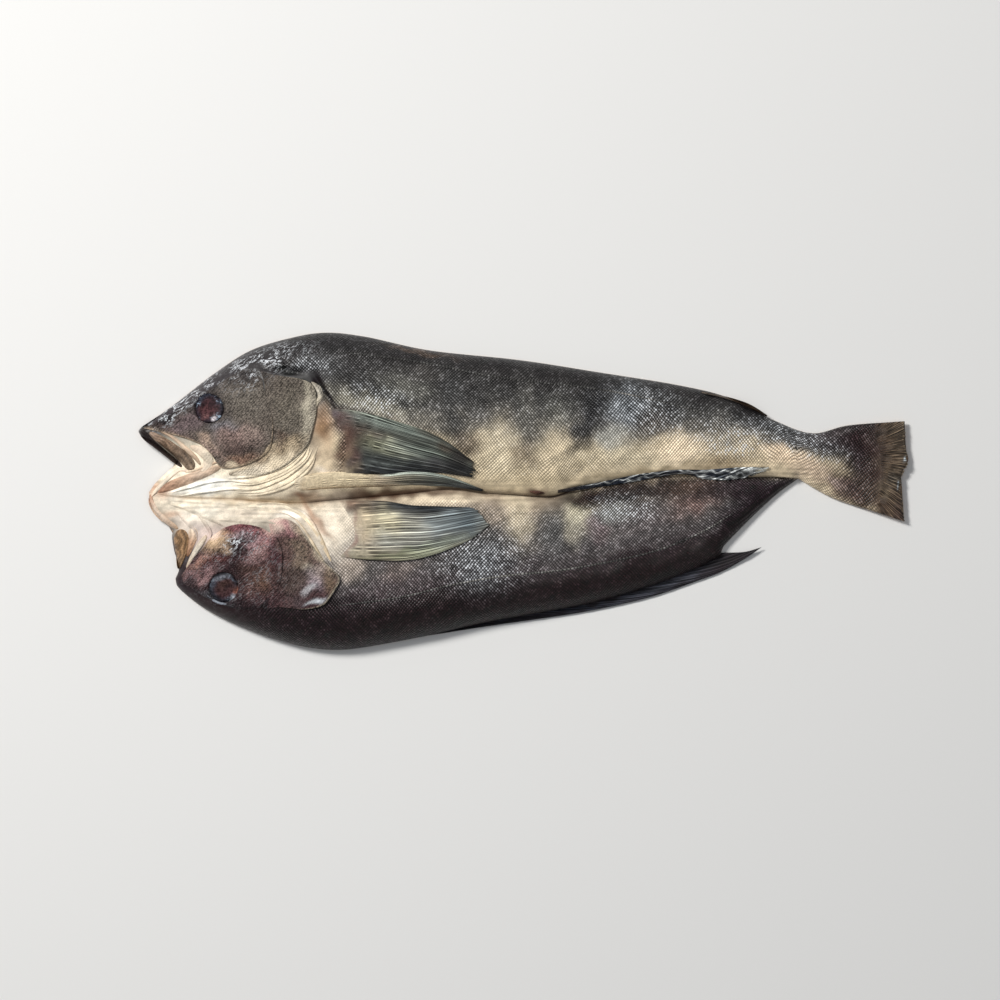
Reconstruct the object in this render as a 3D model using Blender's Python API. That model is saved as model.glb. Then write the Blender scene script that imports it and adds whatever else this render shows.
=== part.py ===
"""Half-dried atka mackerel: a whole fish split along its back and opened flat, skin side up.

The fish lies along X with its heads at -X and its tail at +X. The two halves meet along the belly, which runs
down the middle. The upper half lies at +Y and keeps the whole tail, and the lower half at -Y tucks its cut
end under it. The flesh side is the flat underside at z = 0. The origin is the middle of the outline, on the
ground. Outlines and heights are written in millimetres and built in metres.

The skin is a height over the plan: a long hump for each half that rolls down to the outline, with every flap
that lies on it (gill covers, jaw bones, fins) as a step at its own edge. The eyes are separate lenses.
"""

import bpy
import numpy as np
from mathutils import Vector
from mathutils.geometry import delaunay_2d_cdt

# ---- driving dimensions, in millimetres ----
LENGTH = 381.0
DRAWN_LENGTH = 381.0  # the outlines below are drawn for a fish of this length
MM = 0.001 * LENGTH / DRAWN_LENGTH
RIM = 1.0  # thickness of the cut edge of the skin, all round the outline
ROLL = 1.05  # radius of the rolled edge, as a share of the thickness it rolls down from
EYE_RADIUS = 8.0
EYE_GAP = 0.3
EYE_DEPTH = 4.2  # from the rim of the socket down to its floor
EYE_DOME = 1.2  # how far the lens stands above the rim of its socket
LENS_BEVEL = 0.4
LENS_SHOULDER = 0.9  # its upright side ends this far below the rim
LENS_DOME = [(0.93, 0.1), (0.74, 0.6), (0.42, 0.9)]  # shares of the radius and of the dome's rise
STEP_WIDTH = 0.35  # plan width of the small cliff at the edge of a flap
FIN_THICKNESS = 1.5
BAND_SWELL = 0.5  # the dorsal band is this much thicker than the cut edge
BAND_SWELL_OVER = 2.5  # reached this far in from its own edge

# ---- the underside, which is on the ground but for three parts that dry curling up off it ----
TAIL_LIFT = 2.6
TAIL_LIFT_FROM = 150.0
TAIL_LIFT_OVER = 40.0
LIP_LIFT = 2.4
LIP_LIFT_FROM = -170.0
LIP_LIFT_OVER = 20.0
TIP_LIFT = 1.4  # the free tip of the dorsal band
TIP_LIFT_FROM = (98.0, -22.0)
TIP_LIFT_OVER = (20.0, 4.0)

# ---- the sections of the two halves: where the crest is, and how far the back end drops below it ----
UPPER_CREST_AT = 0.52
UPPER_BACK_DROP = 0.22
LOWER_CREST_AT = 0.55
LOWER_BACK_DROP = 0.25

# ---- the crease along the belly ----
CREASE_DEPTH = 1.6
CREASE_WIDTH = 2.2
CREASE_START = -176.0
CREASE_START_OVER = 12.0
CREASE_END = 60.0
CREASE_END_OVER = 50.0

# ---- how far each flap stands off the skin at its free edge, and how far in it sinks back into it ----
UPPER_GILL_LIFT = 2.0
UPPER_GILL_FADE = 22.0
LOWER_GILL_LIFT = 1.8
LOWER_GILL_FADE = 20.0
UPPER_CHEEK_LIFT = 1.1
LOWER_CHEEK_LIFT = 1.4
CHEEK_FADE = 14.0
FOLD_LIFT = 1.0
FOLD_FADE = 4.6

# ---- how thick each bone and fin is, and how wide its rounded edge is ----
PECTORAL_ROUNDING = 0.8
PELVIC_THICKNESS = 1.4 * FIN_THICKNESS
PELVIC_ROUNDING = 2.2
ANAL_ROUNDING = 1.0
UPPER_JAW_THICKNESS = 1.6
LOWER_JAW_THICKNESS = 1.4
JAW_BAND_THICKNESS = 1.1
JAW_BAND_ROUNDING = 2.4

# ---- spacing of the triangles, in millimetres ----
HEAD_SPACING = 2.7
TRUNK_SPACING = 4.9
UNDER_SPACING = 12.0
HEAD_END = -98.0  # the heads reach back to here
CURVE_STEP = 0.5
CLIFF_FOOT = 0.06
RIM_RINGS = (0.8, 2.6, 5.4)  # rows of points inside the outline, where the skin rolls over
LATTICE_TO_RIM = 7.0
LINE_TO_RIM = 0.6
POINT_TO_LINE = 1.3
PLAN_REACH = (192.0, 82.0)  # the lattice of points covers this much either way from the middle
RIM_STEP = 1.2
HEAD_RIM_GAP = 1.7
TRUNK_RIM_GAP = 3.0
TAIL_FIN_END = 180.0
FLAP_LINE_SPACING = 2.6
PLATE_LINE_SPACING = 3.0
SEAM_LINE_SPACING = 3.2
SEAM_LINE_FROM = -176.0
SEAM_LINE_TO = 136.0
EYE_SIDES = 28
ON_THE_LINE = 0.05  # nearer to a line than this counts as on it

# ---- outlines, in millimetres from the middle of the fish ----
UPPER_BACK = [
    (-186.2, 33.1), (-170.7, 44.7), (-152.4, 58.8), (-135.1, 69.7), (-115.3, 75.9), (-98.1, 78.5),
    (-78.3, 76.5), (-46.2, 69.7), (-1.7, 64.9), (37.8, 58.8), (77.3, 52.4), (102.0, 46.2),
    (124.2, 35.1), (143.0, 28.7), (161.3, 32.6), (188.7, 34.6),
]
TAIL_END = [(188.7, 34.6), (189.4, 21.2), (190.5, 15.3), (187.2, 8.4), (187.5, 1.0), (188.5, -15.1)]
TAIL_UNDER = [(188.5, -15.1), (172.7, -9.9), (155.4, -4.4), (145.5, 0.5), (136.1, 6.2)]
CUT_END = [(136.1, 6.2), (126.2, -1.0), (115.8, -10.4), (105.5, -20.7), (99.0, -27.7), (97.8, -32.1)]
DORSAL_TIP = [(97.8, -32.1), (109.4, -30.1), (118.1, -27.7)]
DORSAL_EDGE = [
    (118.1, -27.7), (110.4, -33.1), (98.1, -40.0), (83.7, -45.4), (65.0, -51.9), (46.2, -56.6),
    (27.4, -60.3), (5.7, -63.6), (-19.5, -67.2), (-46.2, -71.4),
]
DORSAL_BASE = [
    (97.8, -32.1), (83.7, -39.2), (65.0, -46.4), (46.2, -52.2), (27.4, -56.8), (5.7, -60.8),
    (-19.5, -65.3), (-46.2, -71.4),
]
LOWER_BACK = [
    (-46.2, -71.4), (-68.4, -75.6), (-88.2, -78.5), (-106.0, -77.6), (-125.2, -72.6), (-144.0, -65.3),
    (-156.8, -58.8), (-165.2, -52.9), (-171.2, -47.4), (-172.4, -43.5),
]
LOWER_MOUTH = [(-172.4, -43.5), (-170.6, -37.8), (-172.9, -30.1), (-174.1, -22.5), (-173.2, -19.6)]
CHIN_UNDER = [(-173.2, -19.6), (-179.1, -14.6), (-183.0, -9.9), (-185.2, -4.4), (-185.4, -0.6)]
CHIN_OVER = [(-185.4, -0.6), (-182.5, 3.7), (-178.1, 8.0), (-174.0, 11.6), (-171.0, 14.5)]
UPPER_LIP = [(-171.0, 14.5), (-174.4, 17.6), (-181.8, 22.8), (-188.6, 26.8), (-190.5, 29.6), (-189.0, 31.8)]
SNOUT_TIP = [(-189.0, 31.8), (-187.4, 31.9), (-186.2, 33.1)]
BELLY_SEAM = [
    (-185.4, -0.9), (-167.2, -3.2), (-145.0, -3.9), (-130.2, -5.1), (-110.4, -5.7), (-95.6, -4.4),
    (-61.0, -1.3), (-37.3, 1.3), (-20.5, -0.3), (-4.2, -1.3), (13.6, -2.7), (24.0, 0.5), (37.8, 3.1),
    (57.6, 6.2), (74.3, 7.8), (85.7, 7.6), (110.4, 6.9), (136.1, 6.2), (145.5, 0.5), (155.4, -4.4),
    (172.7, -9.9), (190.5, -15.5),
]

# ---- flaps that lie on the skin ----
UPPER_GILL_EDGE = [
    (-124.7, 59.3), (-114.6, 57.5), (-108.4, 56.3), (-104.2, 53.8), (-102.0, 48.6), (-102.0, 39.5),
    (-103.6, 31.0), (-106.6, 22.4), (-113.1, 15.8),
]
LOWER_GILL_EDGE = [
    (-113.9, -15.3), (-106.2, -24.0), (-98.6, -34.1), (-92.6, -40.0), (-90.4, -44.0), (-93.6, -50.0),
    (-98.6, -56.1), (-108.2, -58.3), (-119.0, -57.0),
]
UPPER_GILL_ROOT = [(-138.0, 12.0), (-150.0, 30.0), (-140.0, 52.0)]
LOWER_GILL_ROOT = [(-140.0, -50.0), (-146.0, -30.0), (-134.0, -16.0)]
UPPER_CHEEK_EDGE = [
    (-126.2, 42.5), (-123.9, 36.5), (-123.3, 29.0), (-125.2, 20.5), (-131.2, 15.4), (-140.0, 12.0),
    (-148.0, 10.6),
]
LOWER_CHEEK_EDGE = [
    (-148.0, -19.6), (-139.1, -16.3), (-128.9, -18.3), (-121.3, -24.0), (-118.8, -31.6), (-119.3, -42.5),
]
UPPER_CHEEK_ROOT = [(-160.0, 30.0), (-140.0, 46.0)]
LOWER_CHEEK_ROOT = [(-140.0, -40.0), (-156.0, -32.0)]
THROAT_FOLDS = [
    [(-141.0, 6.0), (-127.5, 9.9), (-118.0, 13.3), (-111.7, 16.8), (-107.6, 20.3)],
    [(-144.0, 1.4), (-133.0, 2.4), (-123.7, 4.4), (-111.4, 10.3), (-105.4, 16.6)],
    [(-140.2, -2.2), (-130.0, -1.4), (-121.3, 0.4), (-111.2, 5.3), (-105.2, 11.6)],
]
FOLD_ROOT = (-150.0, 22.0)  # the folds of the throat all sink into the cheek on this side
UPPER_PECTORAL = [
    (-93.6, 38.6), (-86.2, 39.5), (-73.4, 37.0), (-49.6, 30.1), (-36.8, 24.2), (-29.4, 17.8),
    (-26.1, 11.9), (-28.2, 8.2), (-42.0, 9.4), (-60.0, 9.4), (-76.0, 8.6), (-93.0, 9.6), (-90.6, 18.8),
    (-89.8, 30.1),
]
LOWER_PECTORAL = [
    (-89.7, -5.4), (-68.4, -5.0), (-55.6, -6.9), (-43.2, -7.6), (-27.4, -8.4), (-20.4, -12.6),
    (-18.5, -18.2), (-26.9, -24.9), (-43.2, -31.6), (-57.6, -34.1), (-72.4, -33.7), (-87.2, -31.6),
    (-83.9, -22.7), (-85.2, -14.3),
]
PELVIC = [
    (-105.0, 7.8), (-88.0, 8.2), (-70.9, 7.2), (-52.1, 8.2), (-36.8, 6.9), (-26.5, 3.2), (-43.2, 1.8),
    (-58.0, 0.8), (-72.4, -1.2), (-88.0, -2.0), (-105.0, -2.4), (-108.0, 2.6),
]
ANAL = [
    (22.0, 1.0), (37.8, 4.3), (57.6, 7.3), (74.3, 9.4), (92.0, 9.6), (108.0, 10.6), (120.4, 10.9),
    (110.0, 7.8), (98.0, 6.8), (85.7, 6.4), (74.3, 6.6), (57.6, 5.2), (37.8, 2.2),
]
UPPER_JAW_BONE = [
    (-188.4, 29.8), (-181.4, 24.6), (-173.6, 19.4), (-168.8, 13.4), (-166.0, 9.6), (-161.8, 10.6),
    (-160.6, 14.0), (-164.0, 20.2), (-168.9, 25.2), (-177.6, 28.8),
]
LOWER_JAW_BONE = [(-172.0, -21.4), (-167.0, -19.2), (-164.8, -22.9), (-165.4, -28.0), (-170.0, -36.4)]
JAW_BAND = [
    (-181.6, -0.6), (-174.0, 4.8), (-164.0, 10.2), (-150.8, 14.2), (-148.6, 10.6), (-148.6, 7.4),
    (-158.0, 4.4), (-167.0, 0.8), (-176.0, -1.8),
]
UPPER_EYE = (-155.1, 41.0)
LOWER_EYE = (-148.0, -47.7)

# ---- heights along the fish, as (x, height) in millimetres ----
UPPER_CREST = [
    (-190, 4.6), (-178, 6.8), (-160, 13.0), (-140, 17.6), (-118, 19.6), (-90, 20.6), (-50, 20.8),
    (0, 19.4), (50, 17.2), (90, 14.6), (120, 12.4), (142, 10.2), (154, 7.0), (166, 3.8), (176, 2.4),
    (191, 1.6),
]
LOWER_CREST = [
    (-190, 4.4), (-176, 6.6), (-160, 12.2), (-140, 16.6), (-118, 18.8), (-90, 19.6), (-50, 19.2),
    (0, 17.2), (50, 13.6), (80, 10.6), (105, 7.4), (125, 5.2), (140, 4.2),
]
UPPER_SEAM_LEVEL = [
    (-190, 3.6), (-170, 5.8), (-130, 7.0), (-90, 6.6), (-40, 7.4), (10, 7.6), (40, 8.4), (90, 8.0),
    (120, 7.4), (142, 6.4), (160, 3.2), (176, 2.2), (191, 1.6),
]
LOWER_SEAM_LEVEL = [
    (-190, 3.6), (-170, 5.8), (-130, 7.0), (-90, 6.4), (-40, 6.6), (10, 5.6), (60, 4.4), (140, 3.6),
]


def smooth_curve(points, step=CURVE_STEP):
    """A smooth curve through the points, read off about every step: cubic pieces with rounded joins."""
    p = np.array(points, float)
    ends = np.vstack([2 * p[0] - p[1], p, 2 * p[-1] - p[-2]])
    pieces = []
    for a, b, c, d in zip(ends, ends[1:], ends[2:], ends[3:]):
        count = max(2, int(np.ceil(np.linalg.norm(c - b) / step)))
        t = np.linspace(0, 1, count, endpoint=False)[:, None]
        into = (c - a) / 2
        out = (d - b) / 2
        pieces.append(
            b + into * t + (3 * (c - b) - 2 * into - out) * t**2 + (2 * (b - c) + into + out) * t**3
        )
    return np.vstack(pieces + [p[-1:]])


def closed_curve(points, step=CURVE_STEP):
    """A smooth closed curve through the points, without repeating the first one."""
    wrapped = points[-2:] + points + points[:2]
    curve = smooth_curve(wrapped, step)
    start = np.argmin(np.linalg.norm(curve - np.array(points[0]), axis=1))
    turns = np.where(np.linalg.norm(curve - np.array(points[0]), axis=1) < 1e-6)[0]
    return curve[start:turns[-1]]


def joined(*strokes):
    """Strokes that follow each other, as one line with a corner at each join."""
    return np.vstack([smooth_curve(stroke)[:-1] for stroke in strokes])


def spaced(curve, spacing, closed=False):
    """The curve read again at an even spacing."""
    line = np.vstack([curve, curve[:1]]) if closed else curve
    reach = np.concatenate([[0], np.cumsum(np.linalg.norm(np.diff(line, axis=0), axis=1))])
    count = max(2, int(round(reach[-1] / spacing)))
    at = np.linspace(0, reach[-1], count + 1)
    found = np.column_stack([np.interp(at, reach, line[:, 0]), np.interp(at, reach, line[:, 1])])
    return found[:-1] if closed else found


def distance_to(points, curve, closed=False):
    """The distance from each point to the nearest stretch of the curve."""
    line = np.vstack([curve, curve[:1]]) if closed else curve
    a = line[:-1]
    run = line[1:] - a
    length2 = np.maximum((run**2).sum(1), 1e-12)
    nearest = np.full(len(points), np.inf)
    for start in range(0, len(points), 2000):
        block = points[start:start + 2000, None]
        t = np.clip(((block - a) * run).sum(2) / length2, 0, 1)[..., None]
        nearest[start:start + 2000] = np.linalg.norm(block - a - run * t, axis=2).min(1)
    return nearest


def inside(points, polygon):
    """Which points lie in the polygon, by counting the edges that a ray to the right crosses."""
    a = polygon
    b = np.roll(polygon, -1, axis=0)
    x = points[:, :1]
    y = points[:, 1:]
    straddles = (a[:, 1] > y) != (b[:, 1] > y)
    rise = np.where(np.abs(b[:, 1] - a[:, 1]) < 1e-12, 1e-12, b[:, 1] - a[:, 1])
    crosses = x < a[:, 0] + (y - a[:, 1]) * (b[:, 0] - a[:, 0]) / rise
    return (straddles & crosses).sum(1) % 2 == 1


def soft_step(t):
    t = np.clip(t, 0, 1)
    return t * t * (3 - 2 * t)


def along(x, stations):
    """A height read along the fish: a smooth cubic through the stations, level beyond the ends."""
    at, value = np.array(stations, float).T
    slope = np.gradient(value, at)
    i = np.clip(np.searchsorted(at, x) - 1, 0, len(at) - 2)
    width = at[i + 1] - at[i]
    t = np.clip((x - at[i]) / width, 0, 1)
    return (
        value[i] * (1 + 2 * t) * (1 - t) ** 2 + value[i + 1] * t * t * (3 - 2 * t)
        + width * (slope[i] * t * (1 - t) ** 2 - slope[i + 1] * t * t * (1 - t))
    )


def read_y(x, curve):
    """The y of a curve that runs along X."""
    order = np.argsort(curve[:, 0])
    return np.interp(x, curve[order, 0], curve[order, 1])


LOWER_EDGE_LINE = np.vstack(
    [smooth_curve(CUT_END)[::-1], smooth_curve(DORSAL_BASE), smooth_curve(LOWER_BACK)]
)
OUTLINE = joined(
    UPPER_BACK, TAIL_END, TAIL_UNDER, CUT_END, DORSAL_TIP, DORSAL_EDGE, LOWER_BACK, LOWER_MOUTH,
    CHIN_UNDER, CHIN_OVER, UPPER_LIP, SNOUT_TIP,
)
BODY_OUTLINE = joined(
    UPPER_BACK, TAIL_END, TAIL_UNDER, CUT_END, DORSAL_BASE, LOWER_BACK, LOWER_MOUTH, CHIN_UNDER, CHIN_OVER,
    UPPER_LIP, SNOUT_TIP,
)
SEAM = smooth_curve(BELLY_SEAM)
UPPER_EDGE_LINE = smooth_curve(UPPER_BACK)


def hump(t, crest_at, back_drop):
    """The section of one half, 0 at the belly seam and 1 at the crest, with a slow fall to the back."""
    rise = np.sin(np.pi / 2 * np.clip(t / crest_at, 0, 1))
    fall = np.clip((t - crest_at) / (1 - crest_at), 0, 1) ** 2
    return rise - back_drop * fall


def underside(points):
    """The height of the underside: on the ground, but for the tail fin, the lips and the fin's free tip."""
    x, y = points.T
    tail = TAIL_LIFT * soft_step((x - TAIL_LIFT_FROM) / TAIL_LIFT_OVER)
    lips = LIP_LIFT * soft_step((LIP_LIFT_FROM - x) / LIP_LIFT_OVER)
    tip_along = soft_step((x - TIP_LIFT_FROM[0]) / TIP_LIFT_OVER[0])
    tip_out = soft_step((TIP_LIFT_FROM[1] - y) / TIP_LIFT_OVER[1])
    return tail + lips + TIP_LIFT * tip_along * tip_out


def body_thickness(points):
    """The thickness of the two halves, before any flap is laid on."""
    x, y = points.T
    seam = read_y(x, SEAM)
    top = read_y(x, UPPER_EDGE_LINE)
    low = read_y(x, LOWER_EDGE_LINE)
    t_up = np.clip((y - seam) / np.maximum(top - seam, 1), 0, 1)
    t_low = np.clip((seam - y) / np.maximum(seam - low, 1), 0, 1)
    level_up = along(x, UPPER_SEAM_LEVEL)
    level_low = along(x, LOWER_SEAM_LEVEL)
    up = level_up + (along(x, UPPER_CREST) - level_up) * hump(t_up, UPPER_CREST_AT, UPPER_BACK_DROP)
    lower = level_low + (along(x, LOWER_CREST) - level_low) * hump(t_low, LOWER_CREST_AT, LOWER_BACK_DROP)
    crease_start = soft_step((x - CREASE_START) / CREASE_START_OVER)
    crease_end = soft_step((CREASE_END - x) / CREASE_END_OVER)
    crease = CREASE_DEPTH * np.exp(-np.abs(y - seam) / CREASE_WIDTH) * crease_start * crease_end
    deep = np.where(y >= seam, up, lower) - crease
    edge = distance_to(points, BODY_OUTLINE, closed=True)
    bend = np.clip(1 - edge / np.maximum(ROLL * deep, 0.5), 0, 1)
    rolled = RIM + (deep - RIM) * np.sqrt(1 - bend**2)
    return np.where(inside(points, BODY_OUTLINE), np.maximum(rolled, RIM), 0)


def flap(points, polygon, edge, lift, fade):
    """A flap inside the polygon, lifted most along its free edge and sinking into the skin over fade."""
    depth = distance_to(points, edge)
    cliff = soft_step(depth / STEP_WIDTH)
    return np.where(inside(points, polygon), lift * cliff * (1 - soft_step(depth / fade)), 0)


def plate(points, polygon, thickness, rounding):
    """A thin plate laid on the skin, its edge rounded over the given width."""
    depth = distance_to(points, polygon, closed=True)
    bend = np.clip(1 - depth / rounding, 0, 1)
    return np.where(inside(points, polygon), thickness * np.sqrt(1 - bend**2), 0)


def skin_flaps():
    """Each flap as (closed outline, free edge, lift, fade)."""
    upper_gill = smooth_curve(UPPER_GILL_EDGE)
    lower_gill = smooth_curve(LOWER_GILL_EDGE)
    upper_cheek = smooth_curve(UPPER_CHEEK_EDGE)
    lower_cheek = smooth_curve(LOWER_CHEEK_EDGE)
    flaps = [
        (np.vstack([upper_gill, UPPER_GILL_ROOT]), upper_gill, UPPER_GILL_LIFT, UPPER_GILL_FADE),
        (np.vstack([lower_gill, LOWER_GILL_ROOT]), lower_gill, LOWER_GILL_LIFT, LOWER_GILL_FADE),
        (np.vstack([upper_cheek, UPPER_CHEEK_ROOT]), upper_cheek, UPPER_CHEEK_LIFT, CHEEK_FADE),
        (np.vstack([lower_cheek, LOWER_CHEEK_ROOT]), lower_cheek, LOWER_CHEEK_LIFT, CHEEK_FADE),
    ]
    for fold in THROAT_FOLDS:
        edge = smooth_curve(fold)
        flaps.append((np.vstack([edge, [FOLD_ROOT]]), edge, FOLD_LIFT, FOLD_FADE))
    return flaps


def skin_plates():
    """Each fin or bone that lies on the skin, as (closed outline, thickness, rounding)."""
    return [
        (closed_curve(UPPER_PECTORAL), FIN_THICKNESS, PECTORAL_ROUNDING),
        (closed_curve(LOWER_PECTORAL), FIN_THICKNESS, PECTORAL_ROUNDING),
        (closed_curve(PELVIC), PELVIC_THICKNESS, PELVIC_ROUNDING),
        (closed_curve(ANAL), FIN_THICKNESS, ANAL_ROUNDING),
        (closed_curve(UPPER_JAW_BONE), UPPER_JAW_THICKNESS, UPPER_JAW_THICKNESS),
        (closed_curve(LOWER_JAW_BONE), LOWER_JAW_THICKNESS, LOWER_JAW_THICKNESS),
        (closed_curve(JAW_BAND), JAW_BAND_THICKNESS, JAW_BAND_ROUNDING),
    ]


def dorsal_band():
    """The low dorsal fin that fringes the lower half's back, from its base line to its free edge."""
    return joined(DORSAL_TIP, DORSAL_EDGE, DORSAL_BASE[::-1])


def eye_plane(centre):
    """The flat plane that best fits the skin round an eye, as its height at the centre and its two slopes."""
    turn = np.linspace(0, 2 * np.pi, 24, endpoint=False)
    ring = (EYE_RADIUS + EYE_GAP + STEP_WIDTH) * np.column_stack([np.cos(turn), np.sin(turn)])
    height = skin_height(np.array(centre) + ring, with_sockets=False)
    level, slope_x, slope_y = np.linalg.lstsq(
        np.column_stack([np.ones(len(ring)), ring]), height, rcond=None
    )[0]
    return level, np.array([slope_x, slope_y])


def skin_height(points, with_sockets=True):
    """The height of the skin over each plan point, in millimetres."""
    thickness = body_thickness(points)
    for polygon, edge, lift, fade in skin_flaps():
        thickness = thickness + flap(points, polygon, edge, lift, fade)
    for polygon, plate_thickness, rounding in skin_plates():
        thickness = thickness + plate(points, polygon, plate_thickness, rounding)
    fin = dorsal_band()
    fin_depth = distance_to(points, fin, closed=True)
    blade = RIM + BAND_SWELL * soft_step(fin_depth / BAND_SWELL_OVER)
    thickness = np.maximum(thickness, np.where(inside(points, fin) | (fin_depth < ON_THE_LINE), blade, 0))
    height = underside(points) + np.maximum(thickness, RIM)
    if with_sockets:
        for centre in (UPPER_EYE, LOWER_EYE):
            level, slope = EYE_PLANES[centre]
            away = points - np.array(centre)
            floor = level + away @ slope - EYE_DEPTH
            height = np.where(np.linalg.norm(away, axis=1) < EYE_RADIUS + EYE_GAP, floor, height)
    return height


EYE_PLANES = {centre: eye_plane(centre) for centre in (UPPER_EYE, LOWER_EYE)}


def hexagons(spacing, x_low, x_high):
    """Plan points on a lattice of equal triangles between two stations."""
    rows = np.arange(-PLAN_REACH[1], PLAN_REACH[1], spacing * np.sqrt(3) / 2)
    found = []
    for i, y in enumerate(rows):
        x = np.arange(x_low + spacing * (0.5 if i % 2 else 0.0), x_high, spacing)
        found.append(np.column_stack([x, np.full(len(x), y)]))
    return np.vstack(found)


def outline_points():
    """The outline, read more finely round the heads than along the trunk."""
    curve = spaced(OUTLINE, RIM_STEP, closed=True)
    keep = [0]
    for i in range(1, len(curve)):
        fine = curve[i, 0] < HEAD_END or curve[i, 0] > TAIL_FIN_END
        if np.linalg.norm(curve[i] - curve[keep[-1]]) >= (HEAD_RIM_GAP if fine else TRUNK_RIM_GAP):
            keep.append(i)
    return curve[keep]


def feature_lines():
    """Pairs of lines, at the foot and at the top of each small cliff, that the triangles have to follow."""
    cliffs = [(spaced(edge, FLAP_LINE_SPACING), False, polygon) for polygon, edge, _, _ in skin_flaps()]
    for polygon, _, _ in skin_plates():
        cliffs.append((spaced(polygon, PLATE_LINE_SPACING, closed=True), True, polygon))
    cliffs.append((spaced(smooth_curve(DORSAL_BASE), PLATE_LINE_SPACING), False, dorsal_band()))
    above_seam = np.vstack([SEAM, [PLAN_REACH, (-PLAN_REACH[0], PLAN_REACH[1])]])
    seam_line = SEAM[(SEAM[:, 0] > SEAM_LINE_FROM) & (SEAM[:, 0] < SEAM_LINE_TO)]
    cliffs.append((spaced(seam_line, SEAM_LINE_SPACING), False, above_seam))
    lines = []
    for line, closed, polygon in cliffs:
        tried = beside(line, closed, STEP_WIDTH)
        inward = 1 if inside(tried, polygon).mean() > 0.5 else -1
        lines.append((beside(line, closed, -inward * CLIFF_FOOT), closed))
        lines.append((beside(line, closed, inward * STEP_WIDTH), closed))
    for centre in (UPPER_EYE, LOWER_EYE):
        turn = np.linspace(0, 2 * np.pi, EYE_SIDES, endpoint=False)
        circle = np.column_stack([np.cos(turn), np.sin(turn)])
        lines.append((centre + circle * (EYE_RADIUS + EYE_GAP - CLIFF_FOOT), True))
        lines.append((centre + circle * (EYE_RADIUS + EYE_GAP + STEP_WIDTH), True))
    return lines


def inner_stretches(lines, rim):
    """The stretches of the lines that keep clear of the outline."""
    kept = []
    for line, closed in lines:
        safe = (distance_to(line, rim, closed=True) > LINE_TO_RIM) & inside(line, rim)
        if safe.all():
            kept.append((line, closed))
            continue
        breaks = np.flatnonzero(np.diff(np.concatenate([[0], safe.astype(int), [0]])))
        for start, end in breaks.reshape(-1, 2):
            if end - start > 1:
                kept.append((line[start:end], False))
    return kept


def beside(line, closed, shift):
    """The line moved sideways, to its left for a positive shift."""
    before = np.roll(line, 1, axis=0)
    after = np.roll(line, -1, axis=0)
    if not closed:
        before[0] = line[0]
        after[-1] = line[-1]
    run = after - before
    run = run / np.maximum(np.linalg.norm(run, axis=1), 1e-9)[:, None]
    return line + shift * np.column_stack([-run[:, 1], run[:, 0]])


def triangles_over(rim, loose, lines):
    """Triangles that fill the outline, with their corners on the rim, the lines and the loose points."""
    points = [tuple(p) for p in rim]
    edges = [(i, (i + 1) % len(rim)) for i in range(len(rim))]
    for line, closed in lines:
        first = len(points)
        points += [tuple(p) for p in line]
        edges += [(first + i, first + i + 1) for i in range(len(line) - 1)]
        if closed:
            edges.append((len(points) - 1, first))
    points += [tuple(p) for p in loose]
    found = delaunay_2d_cdt([Vector(p) for p in points], edges, [], 0, 1e-4)
    plan = np.array([tuple(p) for p in found[0]])
    faces = np.array([face for face in found[2]])
    middle = plan[faces].mean(1)
    faces = faces[inside(middle, rim)]
    source = np.full(len(plan), -1)
    for i, origins in enumerate(found[3]):
        if origins and min(origins) < len(rim):
            source[i] = min(origins)
    return plan, faces, source


def clear_of(points, others, closed, gap):
    return points[distance_to(points, others, closed) > gap]


def fish_solid():
    """The whole fish as one closed solid: skin above, underside below, joined by the cut edge."""
    rim = outline_points()
    lines = inner_stretches(feature_lines(), rim)
    loose = []
    for inset in RIM_RINGS:
        ring = beside(rim, True, -inset)
        loose.append(clear_of(ring[inside(ring, rim)], rim, True, 0.92 * inset))
    lattice = np.vstack([
        hexagons(HEAD_SPACING, -PLAN_REACH[0], HEAD_END), hexagons(TRUNK_SPACING, HEAD_END, PLAN_REACH[0]),
    ])
    loose.append(clear_of(lattice[inside(lattice, rim)], rim, True, LATTICE_TO_RIM))
    loose = np.vstack(loose)
    for line, closed in lines:
        loose = clear_of(loose, line, closed, POINT_TO_LINE)
    top_plan, top_faces, top_source = triangles_over(rim, loose, lines)
    ground = hexagons(UNDER_SPACING, -PLAN_REACH[0], PLAN_REACH[0])
    ground = clear_of(ground[inside(ground, rim)], rim, True, 0.5 * UNDER_SPACING)
    low_plan, low_faces, low_source = triangles_over(rim, ground, [])
    top = np.column_stack([top_plan, skin_height(top_plan)])
    low = np.column_stack([low_plan, underside(low_plan)])
    vertices = np.vstack([top, low]) * MM
    top_at = {int(s): i for i, s in enumerate(top_source) if s >= 0}
    low_at = {int(s): i + len(top) for i, s in enumerate(low_source) if s >= 0}
    wall = []
    for i in range(len(rim)):
        j = (i + 1) % len(rim)
        wall.append((top_at[i], top_at[j], low_at[j]))
        wall.append((top_at[i], low_at[j], low_at[i]))
    faces = [tuple(f) for f in top_faces]
    faces += [tuple(reversed(f)) for f in (low_faces + len(top))]
    faces += wall
    return vertices, faces


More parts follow.
